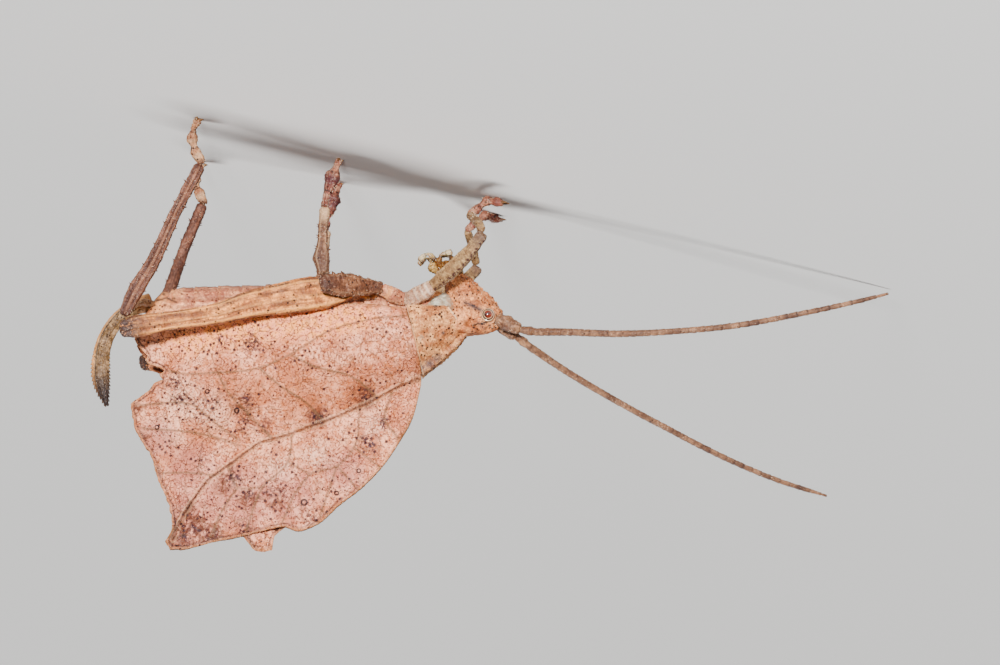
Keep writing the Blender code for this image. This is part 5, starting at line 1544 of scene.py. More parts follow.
    # Dark brown zones, and zones with many specks
    dusks: tuple = (
        (17.6, 17.4, 2.6), (16.6, 15.9, 2.0), (15.0, 17.2, 1.8), (12.0, 14.6, 1.3), (9.8, 14.9, 1.1),
        (12.7, 6.9, 1.5), (2.9, 6.3, 1.7), (6.6, 7.9, 1.4), (20.8, 7.4, 0.9), (20.4, 9.6, 0.8),
        (19.4, 12.4, 0.9), (13.9, 13.4, 1.3))
    speckles: tuple = (
        (17.6, 6.4, 2.8), (15.0, 7.2, 2.6), (12.4, 8.0, 2.4), (16.6, 2.8, 1.8), (13.6, 2.6, 2.2),
        (10.8, 2.2, 2.0), (12.2, 13.8, 2.6), (9.6, 14.2, 2.2), (7.0, 15.8, 1.8), (15.8, 16.6, 2.6),
        (2.6, 9.6, 1.9), (1.4, 7.4, 1.6), (7.4, 3.6, 1.4), (18.6, 10.2, 1.4), (4.4, 13.4, 1.6))
    # Bleached zones, mauve ones, and those where light shining through the wing is painted as a warm glow
    creams: tuple = (
        (17.4, 6.6, 2.6), (15.0, 7.8, 2.2), (18.6, 9.4, 1.8), (6.6, 11.0, 1.8), (2.0, 8.4, 1.4),
        (9.5, 12.0, 1.6))
    mauves: tuple = (
        (12.4, 14.4, 4.0), (8.6, 14.2, 3.2), (16.4, 12.2, 3.2), (16.6, 16.2, 3.2), (19.3, 9.6, 2.2),
        (4.4, 12.4, 2.6))
    painted_glow_zones: tuple = (
        (17.4, 2.4, 1.8), (15.4, 1.7, 2.0), (13.4, 1.4, 2.2), (11.0, 1.0, 2.2), (8.7, 0.7, 2.4),
        (6.6, 0.6, 2.2), (4.8, 0.4, 2.0), (3.2, 0.3, 1.6))
    # Small dark dots
    dots: tuple = (
        (10.12, 10.48, 0.11), (2.23, 8.86, 0.13), (0.41, 6.79, 0.11), (0.15, 8.24, 0.11),
        (1.85, 7.18, 0.10), (4.82, 3.29, 0.10), (6.82, 3.52, 0.10), (8.38, 4.97, 0.11), (8.53, 7.88, 0.12),
        (9.66, 3.33, 0.14), (11.78, 2.57, 0.13), (14.13, 1.81, 0.12), (2.70, 2.09, 0.10),
        (5.72, 9.22, 0.11), (6.84, 9.36, 0.11), (8.06, 11.82, 0.13), (7.45, 12.92, 0.12),
        (19.21, 8.19, 0.15), (11.54, 12.63, 0.17), (14.95, 7.43, 0.16), (14.42, 6.10, 0.14),
        (17.82, 6.52, 0.15), (17.29, 6.71, 0.18), (16.55, 6.68, 0.20), (16.94, 7.07, 0.17),
        (17.05, 6.30, 0.13), (16.30, 6.95, 0.12), (6.75, 7.95, 0.16), (6.30, 7.85, 0.12),
        (17.20, 17.40, 0.25))

    def outline(self) -> Array:
        """The wing's margin as a closed line of even steps, slightly ragged at the rear.

        Returns:
            Places in x and z.
        """
        lower = self.lower_left if self.side == LEFT else self.lower_right
        corners = np.array(self.costal + self.rear + lower + self.lobe + self.front)
        line = closed_outline(corners, self.around, 0.55)
        torn = np.clip((line[:, 0] - 16.0) / 2.0, 0.0, 1.0)
        torn = torn + 0.4 * np.clip((line[:, 1] - 10.0) / 4.0, 0.0, 1.0)
        out = unit(line - np.array(self.centre))
        jitter = 0.035 * torn * ripple(line, 0.8, 51) + 0.02 * torn * ripple(line, 0.35, 52)
        return line + out * jitter[:, None]

    def share_up(self, x: Array, z: Array) -> Array:
        """How far a place is from where the wings meet (0) towards the flank (1)."""
        rise = np.interp(x, (-2.0, 0.0, 8.0, 14.0, 18.0), (4.9, 5.6, 9.0, 11.0, 12.0))
        return np.clip((rise - z) / (rise - self.widest), 0.0, 1.0)

    def offset(self, x: Array, z: Array) -> Array:
        """Distance of the wing's middle from the midplane.

        It is the closed distance, plus the spread times the sine of a quarter turn's share on the
        way down to the flank, and it tucks in a little below the flank.

        Args:
            x: Places along the body.
            z: Heights.

        Returns:
            Distances from the midplane.
        """
        closed = self.clearance + self.sheet / 2
        spread = np.interp(x, (10.0, 15.0, 18.0, 21.5), (2.85, 2.6, 2.15, 1.7)) - closed
        tuck = 0.05 * np.clip(0.5 - z, 0.0, None) ** 2
        return closed + spread * np.sin(self.share_up(x, z) * math.pi / 2) - tuck

    @staticmethod
    def zone(plan: Array, places: tuple, strength: float = 1.0, stretch: float = 1.0) -> Array:
        """Soft zones: the sum of a hump about each place, times the strength and kept to 0 to 1.

        Args:
            plan: Places in x and z.
            places: x, z and radius of each zone.
            strength: What the sum is multiplied by.
            stretch: What distances along x are multiplied by.

        Returns:
            One value a place.
        """
        x, z = plan[..., 0], plan[..., 1]
        total = sum(hump(np.hypot((x - a) * stretch, z - b), radius) for a, b, radius in places)
        return np.clip(strength * total, 0.0, 1.0)

    def distances(self, plan: Array, margin: Array) -> dict[str, Array]:
        """How far each place lies from the veins, the stained lines and the margin.

        Args:
            plan: Places in x and z.
            margin: The wing's outline.

        Returns:
            Distances in the wing's plane, by the name of what they are from.
        """
        def vein(course: tuple, count: int) -> Array:
            """Distances from the smooth curve through a vein's places."""
            return distance(plan, spline(np.array([(*place, 0.0) for place in course]), count)[:, :2])

        branch = np.full(plan.shape[:-1], np.inf)
        for course in self.branches:
            branch = np.minimum(branch, vein(course, 8 * len(course)))
        return {"rib": vein(self.midrib, 60), "upper": vein(self.upper_vein, 40), "branch": branch,
                "stain": np.minimum(*[distance(plan, np.array(course)) for course in self.dark_lines]),
                "rim": distance(plan, np.concatenate([margin[::4], margin[:1]]))}

    def height(self, plan: Array, away: dict[str, Array], outer: Array) -> Array:
        """How far the skin lies from the midplane.

        It is the wing's middle surface, puffed, curled and leaning, plus half the skin and the
        veins' relief to the face's side, all times the slope's stretch.

        Args:
            plan: Places in x and z.
            away: Distances from the veins and the margin.
            outer: 1 on the outer face and -1 on the inner one.

        Returns:
            Distances from the midplane.
        """
        x, z = plan[..., 0], plan[..., 1]
        middle = self.offset(x, z)
        slope = (self.offset(x, z + 0.05) - middle) / 0.05
        tilt = np.sqrt(1.0 + slope**2)
        thin = np.clip(away["rim"] / 0.35, 0.0, 1.0)
        half = self.skin / 2 * (0.35 + 0.65 * np.sqrt(thin))
        tucked = 0.22 * hump(distance(plan, np.array(self.front)), 0.60)
        lean = (2.0 * self.share_up(x, z) - 1.0) * (self.sheet - self.skin) / 2 * 0.8
        relief = 0.11 * hump(away["rib"], 0.27) + 0.07 * hump(away["upper"], 0.24)
        relief += 0.055 * hump(away["branch"], 0.24)
        puff = 0.10 * ripple(plan, 5.0, 53) + 0.05 * ripple(plan, 2.0, 54) + 0.02 * ripple(plan, 0.7, 55)
        puff += 0.05 * np.clip(away["branch"] / 1.5, 0.0, 1.0)
        curl = 0.25 * hump(away["rim"], 1.4) * np.clip((z - 10.0) / 5.0, 0.0, 1.0) * ripple(plan, 4.0, 56)
        height = middle + (lean + puff * thin + curl * 0.4 - tucked + outer * (half + relief * thin)) * tilt
        return np.maximum(height, self.clearance * 0.6)

    def marks(self, plan: Array, away: dict[str, Array]) -> dict[str, Array]:
        """Where the wing is brown, stained, veined and so on.

        Args:
            plan: Places in x and z.
            away: Distances from the veins, the stained lines and the margin.

        Returns:
            Values of 0 to 1, by the mark's name.
        """
        x, z = plan[..., 0], plan[..., 1]
        rib, upper, branch, rim = away["rib"], away["upper"], away["branch"], away["rim"]
        rear = np.clip((x - 16.0) / 1.5, 0.0, 1.0) + np.clip((z - 12.0) / 3.0, 0.0, 1.0)
        edging = 0.90 * hump(rim - 0.26, 0.10) * np.clip(rear, 0.0, 1.0)
        dark = np.maximum.reduce([dots(plan, self.dots), 0.8 * hump(away["stain"], 0.09), edging])
        blurred = plan + 0.25 * np.stack([ripple(plan, 1.2, 57), ripple(plan, 1.2, 58)], axis=-1)
        stains = dots(blurred, tuple((a, b, self.stain_size * radius) for a, b, radius in self.purples))
        return {"vein": np.maximum(0.9 * hump(branch, 0.15), 0.8 * hump(upper, 0.14)),
                "rib": 0.95 * hump(rib, 0.16), "rib_edge": 0.45 * hump(rib - 0.19, 0.09),
                "rim": 0.75 * hump(rim, 0.20), "dark": np.clip(dark, 0.0, 1.0),
                "purple": np.clip(stains * 1.1, 0.0, 1.0),
                "brown": self.zone(plan, self.browns), "cream": self.zone(plan, self.creams),
                # The glow mark is painted light: a warm glow where light would shine through the wing.
                "glow": self.zone(plan, self.painted_glow_zones, stretch=0.8), "dusk": self.zone(plan, self.dusks),
                "mauve": self.zone(plan, self.mauves, 1.6), "speckled": self.zone(plan, self.speckles, 1.4)}

    def build(self, bench: Workbench, word: str) -> None:
        """A star of rings from the wing's middle to its margin, on the outer face and then the inner.

        A ring holds the points that lie a given share of the way from the centre to the margin.

        Args:
            bench: Makes the piece.
            word: left or right.
        """
        margin = self.outline()
        centre = np.array(self.centre)
        out = np.linspace(0.0, 1.0, self.rings_out + 1)[1:]
        back = np.linspace(1.0, 0.0, self.rings_in + 1)[1:-1]
        share = np.concatenate([out, [1.0], back])
        plan = centre + (margin - centre)[None] * share[:, None, None]
        outer = np.concatenate([np.ones(len(out)), -np.ones(len(back) + 1)])[:, None]
        away = self.distances(plan, margin)
        height = self.side * self.height(plan, away, outer)
        points = np.stack([plan[..., 0], height, plan[..., 1]], axis=-1)
        if self.side == LEFT:
            points, plan = points[:, ::-1], plan[:, ::-1]
            away = {name: values[:, ::-1] for name, values in away.items()}
        grid = Grid(points, points.copy())
        down = grid.hairs(420, 0.09, 8, 0.03 + hump(away["rim"], 0.15) + hump(away["rib"], 0.15))
        wing = grid.surface(down, **self.marks(plan, away))
        bench.piece(f"leaf_wing_{word}", wing, DeadLeaf(), "wing", (f"tegmen_{word}",))


# Legs

class Pair(Enum):
    """The three pairs of legs."""

    FORE = "fore"
    MID = "mid"
    HIND = "hind"


@dataclass(frozen=True)
class Segment:
    """One joint of a leg: its stations on the left side, its ridges and its bands of colour."""

    stations: tuple
    skin: Cuticle
    power: float = 2.3
    across: tuple = (0.0, 1.0, 0.0)
    # Angle round it in degrees, height and half width in degrees
    ridges: tuple = ()
    # Share of the length, half width and strength
    shades: tuple = ()
    pales: tuple = ()
    darks: tuple = ()
    # Angle, half width in degrees and strength of each long grey stripe and of each pale one; the hind
    # femur's grey stripe at 100 degrees is painted shade along its dorsal edge
    stripes_and_painted_shade: tuple = ()
    gleams: tuple = ()
    # Angle and spacing of rows of dark dots along the piece
    dotted: tuple = ()
    # Share of the length, angle, half width and half turn in degrees of single dark blots
    blots: tuple = ()
    uneven: float = 0.022
    hairs: int = 120
    # How far each hidden end reaches into the next segment, and its size against the station's
    reach: float = 0.22
    hidden: float = 0.94
    rings: int = 90
    around: int = 44


@dataclass
class Leg:
    """The left leg of one pair, its mirror image on the right, its spines and its claws."""

    pair: Pair
    segments: dict[str, Segment]
    # Share along the tibia of each spine, and the angle round it of each row
    spines: tuple = ()
    spine_rows: tuple = (60.0, 120.0, -60.0, -120.0)
    spine_reach: float = 0.13
    # Places along the femur of the teeth under it, in x, and how far each reaches
    teeth: tuple = ()
    # How far the right knee and ankle lie from the mirror image of the left ones
    knee_shift: tuple = (0.0, 0.0, 0.0)
    ankle_shift: tuple = (0.0, 0.0, 0.0)
    claw_reach: float = 0.55
    claw_spread: float = 0.35

    def placed(self, part: str, side: float) -> Array:
        """A segment's stations, as the left leg has them, moved where the right leg is held differently.

        A place moves by the shift of the segment's two ends, in proportion to its share of the way
        between them.

        Args:
            part: coxa, femur, tibia or tarsus.
            side: LEFT or RIGHT.

        Returns:
            Rows of x, y, z, half depth and half thickness.
        """
        rows = np.array(self.segments[part].stations, float)
        if side == LEFT:
            return rows
        still = np.zeros(3)
        knee, ankle = np.array(self.knee_shift), np.array(self.ankle_shift)
        start, end = {"coxa": (still, still), "femur": (still, knee), "tibia": (knee, ankle),
                      "tarsus": (ankle, ankle)}[part]
        run = rows[-1, :3] - rows[0, :3]
        share = ((rows[:, :3] - rows[0, :3]) @ run / (run @ run))[:, None]
        rows[:, :3] += start + (end - start) * share
        return rows

    def segment(self, part: str, side: float, seed: int) -> Surface:
        """One segment's skin, a little longer at each end than its solid, so that no joint gapes.

        Args:
            part: coxa, femur, tibia or tarsus.
            side: LEFT or RIGHT.
            seed: Picks the unevenness.

        Returns:
            The surface, on the left side.
        """
        kind = self.segments[part]
        rows = self.placed(part, side)
        first, last = rows[0].copy(), rows[-1].copy()
        first[:3] -= unit(rows[1, :3] - rows[0, :3]) * kind.reach
        first[3:] *= kind.hidden
        if part != "tarsus":
            last[:3] += unit(rows[-1, :3] - rows[-2, :3]) * kind.reach
            last[3:] *= kind.hidden
        rows = np.concatenate([[first], rows[1:-1], [last]])
        grid = loft(rows, kind.rings, kind.around, kind.power, across=kind.across)
        lift = kind.uneven * (ripple(grid.points, 0.9, seed) + 0.7 * ripple(grid.points, 0.32, seed + 1))
        for degrees, height, half_width in kind.ridges:
            lift = lift + height * grid.ridge(degrees, half_width)
        grid.push(lift)
        broken = np.clip(0.78 + 0.60 * ripple(grid.points, 1.7, seed + 2), 0.0, 1.0)
        stripes_and_painted_shade = [strength * broken * grid.ridge(degrees, half_width)
                   for degrees, half_width, strength in kind.stripes_and_painted_shade]
        crests = [(degrees, half_width * 0.5, 0.30 * (height > 0))
                  for degrees, height, half_width in kind.ridges]
        rim = grid.strongest(grid.ridges(kind.gleams) + grid.ridges(tuple(crests)))
        for zone in grid.bands(kind.shades):
            rim = rim * (1.0 - zone)
        dark = grid.bands(kind.darks)
        for degrees, spacing in kind.dotted:
            wave = np.sin(grid.lie[..., 0] * 2 * math.pi / spacing + 0.8 * ripple(grid.points, 0.8, seed))
            dark.append(np.clip(2.4 * wave, 0.0, 1.0) * grid.ridge(degrees, 24.0))
        for centre, degrees, half_width, half_turn in kind.blots:
            dark.append(grid.band(centre, half_width) * grid.ridge(degrees, half_turn))
        edges = 1.0 + sum(6.0 * grid.ridge(degrees, 10.0) for degrees, _, _ in kind.ridges)
        return grid.surface(grid.hairs(kind.hairs, 0.15, seed, edges), dark=grid.strongest(dark),
                            shade=grid.strongest(stripes_and_painted_shade + grid.bands(kind.shades)),
                            rim=grid.strongest([rim, *grid.bands(kind.pales)]))

    def shin_spines(self, side: float) -> Surface:
        """Short spines in rows down the tibia, leaning towards the foot.

        Args:
            side: LEFT or RIGHT.

        Returns:
            The surface, on the left side.
        """
        rows = spline(self.placed("tibia", side), 101)
        at = np.array(self.spines)
        here = rows[(at * 100).astype(int)]
        along = unit(rows[-1, :3] - rows[0, :3])
        across = unit(np.array((0.0, 1.0, 0.0)) - along * along[1])
        up = np.cross(along, across)
        angles = np.radians(np.array(self.spine_rows))[None, :, None]
        outward = np.cos(angles) * across + np.sin(angles) * up
        size = here[:, None, 4:5] * np.abs(np.cos(angles)) + here[:, None, 3:4] * np.abs(np.sin(angles))
        bases = (here[:, None, :3] + outward * size * 0.7).reshape(-1, 3)
        tips = here[:, None, :3] + outward * (size + self.spine_reach) + along * self.spine_reach
        return thorns(bases, tips.reshape(-1, 3), np.full(len(bases), 0.07))

    def femur_teeth(self, side: float) -> Surface:
        """Flat triangular teeth under the femur.

        Args:
            side: LEFT or RIGHT.

        Returns:
            The surface, on the left side.
        """
        rows = self.placed("femur", side)
        x, reach = np.array(self.teeth).T
        y, z, depth = [np.interp(x, rows[:, 0], rows[:, i]) for i in (1, 2, 3)]
        bases = np.stack([x - 0.12, y, z - depth + 0.25], axis=1)
        tips = np.stack([x + 0.12, y, z - depth - 0.55 * reach], axis=1)
        return thorns(bases, tips, np.full(len(x), 0.24), 8)

    def claws(self, side: float) -> Surface:
        """Two hooked claws past the last joint.

        Args:
            side: LEFT or RIGHT.

        Returns:
            The surface, on the left side.
        """
        rows = self.placed("tarsus", side)
        last = rows[-1, :3]
        ahead = unit(last - rows[-2, :3])
        flat = unit(ahead * (1.0, 1.0, 0.3))
        sideways = unit(np.cross(flat, (0.0, 0.0, 1.0)))
        hooks = []
        for hand in (-1.0, 1.0):
            tip = last + flat * self.claw_reach + sideways * (hand * self.claw_spread)
            middle = last + flat * self.claw_reach * 0.6 + sideways * (hand * self.claw_spread * 0.8)
            middle = middle - (0.0, 0.0, 0.02)
            root = last - flat * 0.1 + sideways * (hand * 0.10)
            course = [(*root, 0.12, 0.10), (*middle, 0.10, 0.08), (*tip, 0.035, 0.03)]
            hooks.append(loft(course, 16, 14).surface())
        return joined(hooks)

    def build(self, bench: Workbench) -> None:
        """Makes every segment and the claws on both sides.

        Args:
            bench: Makes the pieces.
        """
        name = self.pair.value
        for number, (word, side) in enumerate(SIDES.items()):
            for order, part in enumerate(self.segments):
                surface = self.segment(part, side, 60 + 10 * order + number)
                if part == "tibia" and self.spines:
                    surface = joined([surface, self.shin_spines(side)])
                if part == "femur" and self.teeth:
                    surface = joined([surface, self.femur_teeth(side)])
                bench.piece(f"{name}_{part}_skin_{word}", surface.on(side), self.segments[part].skin,
                            f"{name}_leg", (f"{name}_{part}_{word}",))
            bench.piece(f"{name}_claws_{word}", self.claws(side).on(side), CLAW_SKIN, f"{name}_leg")


def fore_leg() -> Leg:
    """The fore leg, reaching forwards and down, with dotted edges to its femur.

    Returns:
        The leg.
    """
    return Leg(Pair.FORE, {
        "coxa": Segment(
            ((-0.80, -2.10, -1.40, 0.62, 0.45), (-1.55, -2.42, -1.72, 0.68, 0.50),
             (-2.18, -2.86, -2.05, 0.60, 0.46)), COXA_SKIN,
            pales=((0.88, 0.07, 0.7), (0.70, 0.05, 0.5), (0.45, 0.08, 0.3)), reach=0.3),
        "femur": Segment(
            ((-2.84, -3.48, -2.42, 0.52, 0.40), (-3.89, -4.95, -3.12, 0.60, 0.44),
             (-4.89, -6.30, -3.92, 0.58, 0.42), (-5.70, -7.35, -4.70, 0.48, 0.40),
             (-6.15, -7.85, -5.25, 0.50, 0.44)), FORE_LEG_SKIN, 3.4,
            ridges=((45.0, 0.03, 16.0), (135.0, 0.06, 12.0), (-135.0, 0.07, 12.0), (-45.0, 0.03, 16.0)),
            shades=((0.98, 0.25, 0.8),), dotted=((-150.0, 0.62), (-138.0, 0.41)),
            stripes_and_painted_shade=((-120.0, 30.0, 0.6),), gleams=((-156.0, 6.0, 0.3),), around=88),
        "tibia": Segment(
            ((-6.24, -7.43, -6.18, 0.35, 0.35), (-6.12, -6.70, -6.62, 0.33, 0.33),
             (-5.82, -5.30, -7.24, 0.31, 0.31), (-5.58, -4.00, -7.72, 0.34, 0.33)), FORE_LEG_SKIN,
            across=(1.0, 0.0, 0.0), shades=((0.5, 0.5, 0.4),)),
        "tarsus": Segment(
            ((-5.72, -3.34, -8.17, 0.30, 0.29), (-6.14, -3.14, -8.50, 0.36, 0.34),
             (-6.52, -3.18, -8.82, 0.25, 0.26), (-6.96, -3.30, -9.10, 0.41, 0.38),
             (-7.28, -3.42, -9.04, 0.28, 0.29), (-7.66, -3.58, -8.97, 0.40, 0.36),
             (-8.00, -3.72, -8.86, 0.27, 0.27)), FOOT_SKIN, pales=((0.12, 0.10, 0.5),),
            darks=((0.36, 0.04, 0.6), (0.66, 0.04, 0.6))),
    })


def mid_leg() -> Leg:
    """The middle leg, with a toothed femur and a lobed tibia banded pale at its end.

    Returns:
        The leg.
    """
    return Leg(Pair.MID, {
        "coxa": Segment(
            ((0.02, -2.05, -1.45, 0.60, 0.45), (0.50, -2.50, -1.58, 0.64, 0.48),
             (1.12, -2.97, -1.82, 0.54, 0.43)), BODY_SKIN, pales=((0.8, 0.12, 0.5),), reach=0.3),
        "femur": Segment(
            ((1.88, -3.50, -2.06, 0.50, 0.38), (3.10, -4.22, -2.00, 0.75, 0.42),
             (4.30, -4.98, -2.00, 0.92, 0.45), (5.20, -5.45, -1.98, 0.88, 0.42),
             (5.85, -5.83, -1.95, 0.74, 0.46)), MID_LEG_SKIN, 2.4,
            ridges=((135.0, 0.04, 18.0), (-135.0, 0.05, 18.0)),
            shades=((0.95, 0.2, 0.6), (0.1, 0.15, 0.4)), uneven=0.045, hairs=200),
        "tibia": Segment(
            ((6.14, -5.97, -3.20, 0.50, 0.42), (6.24, -5.87, -4.05, 0.66, 0.42),
             (6.18, -5.74, -5.00, 0.44, 0.38), (6.12, -5.50, -6.40, 0.38, 0.35),
             (6.02, -5.24, -7.70, 0.42, 0.38)), MID_TIBIA_SKIN, 2.5,
            ridges=((150.0, 0.06, 14.0), (-150.0, 0.04, 16.0), (60.0, 0.05, 30.0)),
            shades=((0.15, 0.3, 0.5),), stripes_and_painted_shade=((175.0, 14.0, 0.5), (-130.0, 20.0, 0.6)),
            gleams=((148.0, 10.0, 0.8),), pales=((0.90, 0.22, 0.85),), darks=((0.60, 0.035, 0.35),)),
        "tarsus": Segment(
            ((5.96, -5.10, -8.56, 0.32, 0.31), (5.84, -5.00, -9.30, 0.26, 0.27),
             (5.58, -4.90, -10.10, 0.50, 0.42), (5.36, -4.84, -10.85, 0.58, 0.44),
             (5.18, -4.84, -11.30, 0.30, 0.30), (4.95, -5.00, -11.90, 0.27, 0.27)), FOOT_SKIN,
            ridges=((150.0, 0.05, 22.0), (-150.0, 0.05, 22.0), (180.0, -0.05, 14.0)), uneven=0.035,
            shades=((0.56, 0.22, 0.95), (0.12, 0.10, 0.5)), pales=((0.24, 0.06, 0.5), (0.85, 0.06, 0.4)),
            darks=((0.33, 0.03, 0.9), (0.72, 0.03, 0.5), (0.04, 0.04, 0.5))),
    }, (0.35, 0.55, 0.75), teeth=((2.5, 0.30), (3.2, 0.34), (3.9, 0.38), (4.6, 0.40), (5.3, 0.36)))


def hind_leg() -> Leg:
    """The long hind leg, its right knee held a little higher and further out than the left.

    Returns:
        The leg.
    """
    return Leg(Pair.HIND, {
        "coxa": Segment(
            ((2.40, -2.38, -1.88, 0.60, 0.45), (2.90, -2.76, -1.93, 0.65, 0.48),
             (3.42, -3.04, -1.92, 0.55, 0.42)), HIND_LEG_SKIN, reach=0.3),
        "femur": Segment(
            ((4.25, -3.60, -1.72, 0.70, 0.42), (5.60, -3.95, -1.62, 1.20, 0.55),
             (7.30, -4.30, -1.38, 1.36, 0.62), (9.50, -4.72, -0.92, 1.24, 0.60),
             (11.3, -5.05, -0.55, 1.12, 0.56), (14.65, -5.80, 0.48, 0.82, 0.46),
             (18.60, -6.42, 1.20, 0.76, 0.42), (20.20, -6.60, 1.50, 0.86, 0.48),
             (20.95, -6.68, 1.66, 0.84, 0.52), (21.40, -6.72, 1.78, 0.70, 0.46)), HIND_LEG_SKIN, 2.5,
            ridges=((132.0, 0.07, 12.0), (-140.0, 0.06, 14.0), (172.0, 0.020, 12.0), (155.0, -0.025, 9.0)),
            shades=((0.975, 0.16, 1.0), (0.0, 0.12, 0.4)), darks=((0.99, 0.10, 0.25),),
            # The stripe at 100 degrees is painted shade, darkening the femur's dorsal edge, which lies in
            # shadow.
            stripes_and_painted_shade=((100.0, 24.0, 0.9), (-133.0, 24.0, 0.95), (-160.0, 13.0, 0.6), (166.0, 8.0, 0.5)),
            gleams=((128.0, 16.0, 0.8), (-142.0, 8.0, 0.5)), hairs=300, rings=220, around=72,
            blots=((0.54, -150.0, 0.010, 8.0), (0.56, -160.0, 0.007, 6.0), (0.40, -136.0, 0.018, 9.0),
                   (0.22, 160.0, 0.006, 5.0), (0.70, 170.0, 0.006, 5.0))),
        "tibia": Segment(
            ((21.42, -6.88, 0.28, 0.50, 0.42), (20.92, -7.00, -0.80, 0.60, 0.42),
             (19.40, -7.20, -3.40, 0.54, 0.40), (17.70, -7.60, -7.15, 0.46, 0.37),
             (15.95, -7.95, -10.55, 0.48, 0.40)), TIBIA_SKIN, 2.6,
            ridges=((135.0, 0.06, 16.0), (-135.0, 0.06, 16.0), (182.0, 0.035, 11.0), (163.0, -0.04, 10.0),
                    (-158.0, -0.04, 10.0)), shades=((0.0, 0.10, 0.8), (0.98, 0.05, 0.5)),
            stripes_and_painted_shade=((163.0, 17.0, 0.55), (-158.0, 17.0, 0.55), (60.0, 60.0, 0.4)),
            gleams=((182.0, 9.0, 0.45),), hairs=260, rings=180, around=56),
        "tarsus": Segment(
            ((15.76, -8.05, -11.44, 0.34, 0.32), (16.08, -8.10, -12.02, 0.42, 0.38),
             (16.24, -8.16, -12.50, 0.25, 0.26), (16.38, -8.24, -13.05, 0.44, 0.40),
             (16.34, -8.38, -13.55, 0.25, 0.26), (15.98, -8.85, -14.34, 0.29, 0.29)), HIND_FOOT_SKIN,
            ridges=((150.0, 0.05, 20.0), (-150.0, 0.05, 20.0), (180.0, -0.04, 14.0)), uneven=0.035,
            pales=((0.18, 0.10, 0.6), (0.50, 0.08, 0.4)), shades=((0.03, 0.08, 0.7),),
            darks=((0.36, 0.035, 0.8), (0.70, 0.035, 0.8))),
    }, (0.15, 0.3, 0.45, 0.6, 0.75, 0.9), knee_shift=(-0.80, -0.90, 0.57), ankle_shift=(0.40, -0.90, 0.0))


# Studio

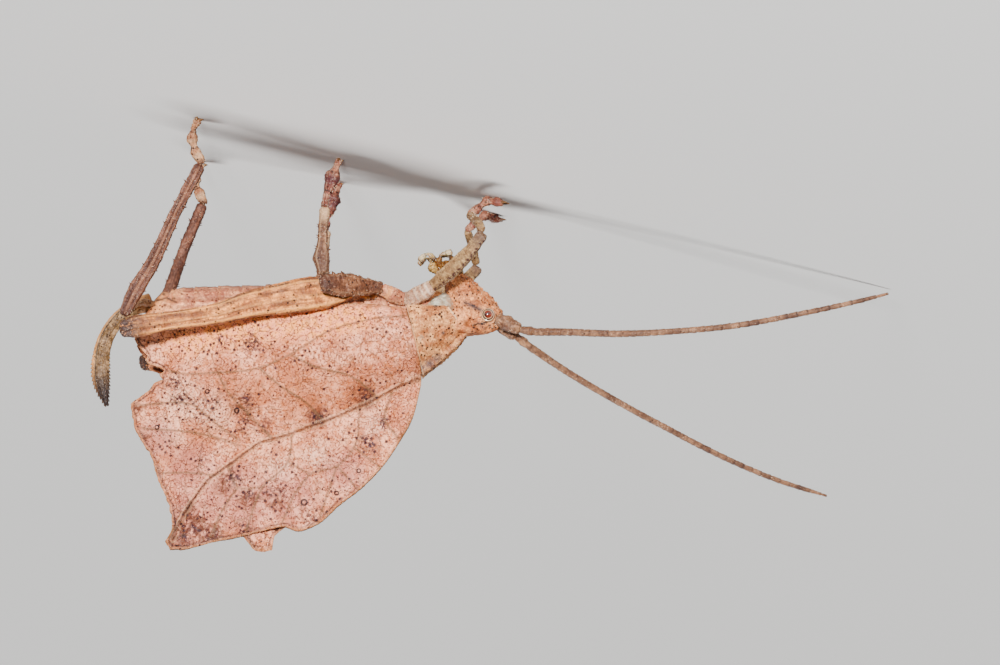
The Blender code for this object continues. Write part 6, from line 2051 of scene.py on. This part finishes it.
@dataclass(frozen=True)
class Studio:
    """The floor, the lights and the camera, which is turned with the insect as the photo shows it."""

    elevation: float = math.radians(9.0)
    roll: float = math.radians(12.5)
    lens: float = 150.0
    sensor: float = 36.0
    pixel: float = 0.08
    image: tuple = (1000.0, 665.0)
    # Where the photo shows the origin of the insect's own frame
    origin_pixel: tuple = (400.0, 320.0)
    # Turn round the insect from the camera and height, in degrees, distance and size in mm, and watts
    lights: tuple = ((9.0, 0.4, 330.0, 30.0, 3.30), (-55.0, 30.0, 320.0, 200.0, 0.05))
    # Turn, height and softness of the light on the whole floor, in degrees, and its strength
    overhead: tuple = (165.0, 72.0, 20.0, 3.7)
    sky: tuple = (0.90, 0.92, 0.95, 1.0)
    sky_strength: float = 0.14
    # Half the floor's side, in metres, and its finish
    floor_reach: float = 3.0
    floor_colour: tuple = (0.80, 0.79, 0.77, 1.0)
    floor_roughness: float = 0.8

    def build(self, stance: Stance) -> None:
        """Makes the camera, the lights, the sky and the floor.

        Args:
            stance: Says where the insect stands.
        """
        target = self.hold_camera(stance)
        for number, (azimuth, height, away, size, watts) in enumerate(self.lights):
            light, way = self.hang_lamp(f"soft_light_{number}", "AREA", azimuth, height)
            light.data.size, light.data.energy = size * MM, watts
            light.location = target + way * away * MM
        azimuth, height, softness, strength = self.overhead
        light, _ = self.hang_lamp("overhead", "SUN", azimuth, height)
        light.data.energy, light.data.angle = strength, math.radians(softness)
        world = bpy.data.worlds.new("pale_room")
        world.use_nodes = True
        world.node_tree.nodes["Background"].inputs["Color"].default_value = self.sky
        world.node_tree.nodes["Background"].inputs["Strength"].default_value = self.sky_strength
        bpy.context.scene.world = world
        self.lay_floor()

    def hold_camera(self, stance: Stance) -> Array:
        """Sets the camera so that the insect's own origin lies at its place in the photo.

        Args:
            stance: Says where the insect stands.

        Returns:
            The place that the camera looks at, in metres.
        """
        rise, turn = self.elevation, self.roll
        right = np.array((1.0, 0.0, 0.0))
        up = np.array((0.0, math.sin(rise), math.cos(rise)))
        back = np.array((0.0, -math.cos(rise), math.sin(rise)))
        image_right = -math.cos(turn) * right - math.sin(turn) * up
        image_down = -math.sin(turn) * right + math.cos(turn) * up
        far = self.lens * self.pixel * self.image[0] / self.sensor
        x, y = [at - size / 2 for at, size in zip(self.origin_pixel, self.image)]
        ray = (x * image_right + y * image_down) * self.pixel - back * far
        origin = back * far - ray * (back[1] * far / ray[1])
        target = stance.place(np.zeros(3)) - origin * MM
        camera = bpy.data.cameras.new("camera")
        camera.lens, camera.sensor_width, camera.clip_start = self.lens, self.sensor, 0.01
        holder = bpy.data.objects.new("camera", camera)
        columns = np.column_stack([image_right, -image_down, back, target + back * far * MM])
        holder.matrix_world = Matrix(np.vstack([columns, (0.0, 0.0, 0.0, 1.0)]).tolist())
        bpy.context.scene.collection.objects.link(holder)
        bpy.context.scene.camera = holder
        return target

    @staticmethod
    def hang_lamp(name: str, kind: str, azimuth: float, height: float) -> tuple[bpy.types.Object, Array]:
        """A lamp that shines from one side towards the middle.

        Args:
            name: Its name.
            kind: AREA or SUN.
            azimuth: Turn round the insect from the camera, in degrees.
            height: Height above the floor, in degrees.

        Returns:
            The lamp's object and the direction in which it hangs.
        """
        a, e = math.radians(azimuth), math.radians(height)
        way = np.array((math.sin(a) * math.cos(e), -math.cos(a) * math.cos(e), math.sin(e)))
        right = unit(np.cross((0.0, 0.0, 1.0), way))
        light = bpy.data.objects.new(name, bpy.data.lights.new(name, kind))
        light.rotation_mode = "QUATERNION"
        axes = np.column_stack((right, np.cross(way, right), way))
        light.rotation_quaternion = Matrix(axes.tolist()).to_quaternion()
        bpy.context.scene.collection.objects.link(light)
        return light, way

    def lay_floor(self) -> None:
        """Makes the floor, a square about the insect."""
        mesh = bpy.data.meshes.new("floor")
        corners = [(x * self.floor_reach, y * self.floor_reach, 0.0)
                   for x, y in ((-1, -1), (1, -1), (1, 1), (-1, 1))]
        mesh.from_pydata(corners, [], [(0, 1, 2, 3)])
        material, nodes = new_material("pale_floor")
        shader = nodes.tree.nodes["Principled BSDF"]
        shader.inputs["Base Color"].default_value = self.floor_colour
        shader.inputs["Roughness"].default_value = self.floor_roughness
        mesh.materials.append(material)
        floor = bpy.data.objects.new("floor", mesh)
        bpy.context.scene.collection.objects.link(floor)


def main() -> None:
    """Builds the insect and the studio."""
    logging.basicConfig(level=logging.INFO, format="%(name)s: %(message)s")
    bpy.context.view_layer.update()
    bench = Workbench(Stance.of_packed_model())
    for part in (Head(), Feelers(), Mouth(), Pronotum(), Trunk(), TailParts(),
                 fore_leg(), mid_leg(), hind_leg()):
        part.build(bench)
    for word, side in SIDES.items():
        LeafWing(side).build(bench, word)
    bench.comb()
    Studio().build(bench.stance)
    LOG.info("%d pieces", len(bench.made))


if __name__ == "__main__":
    main()
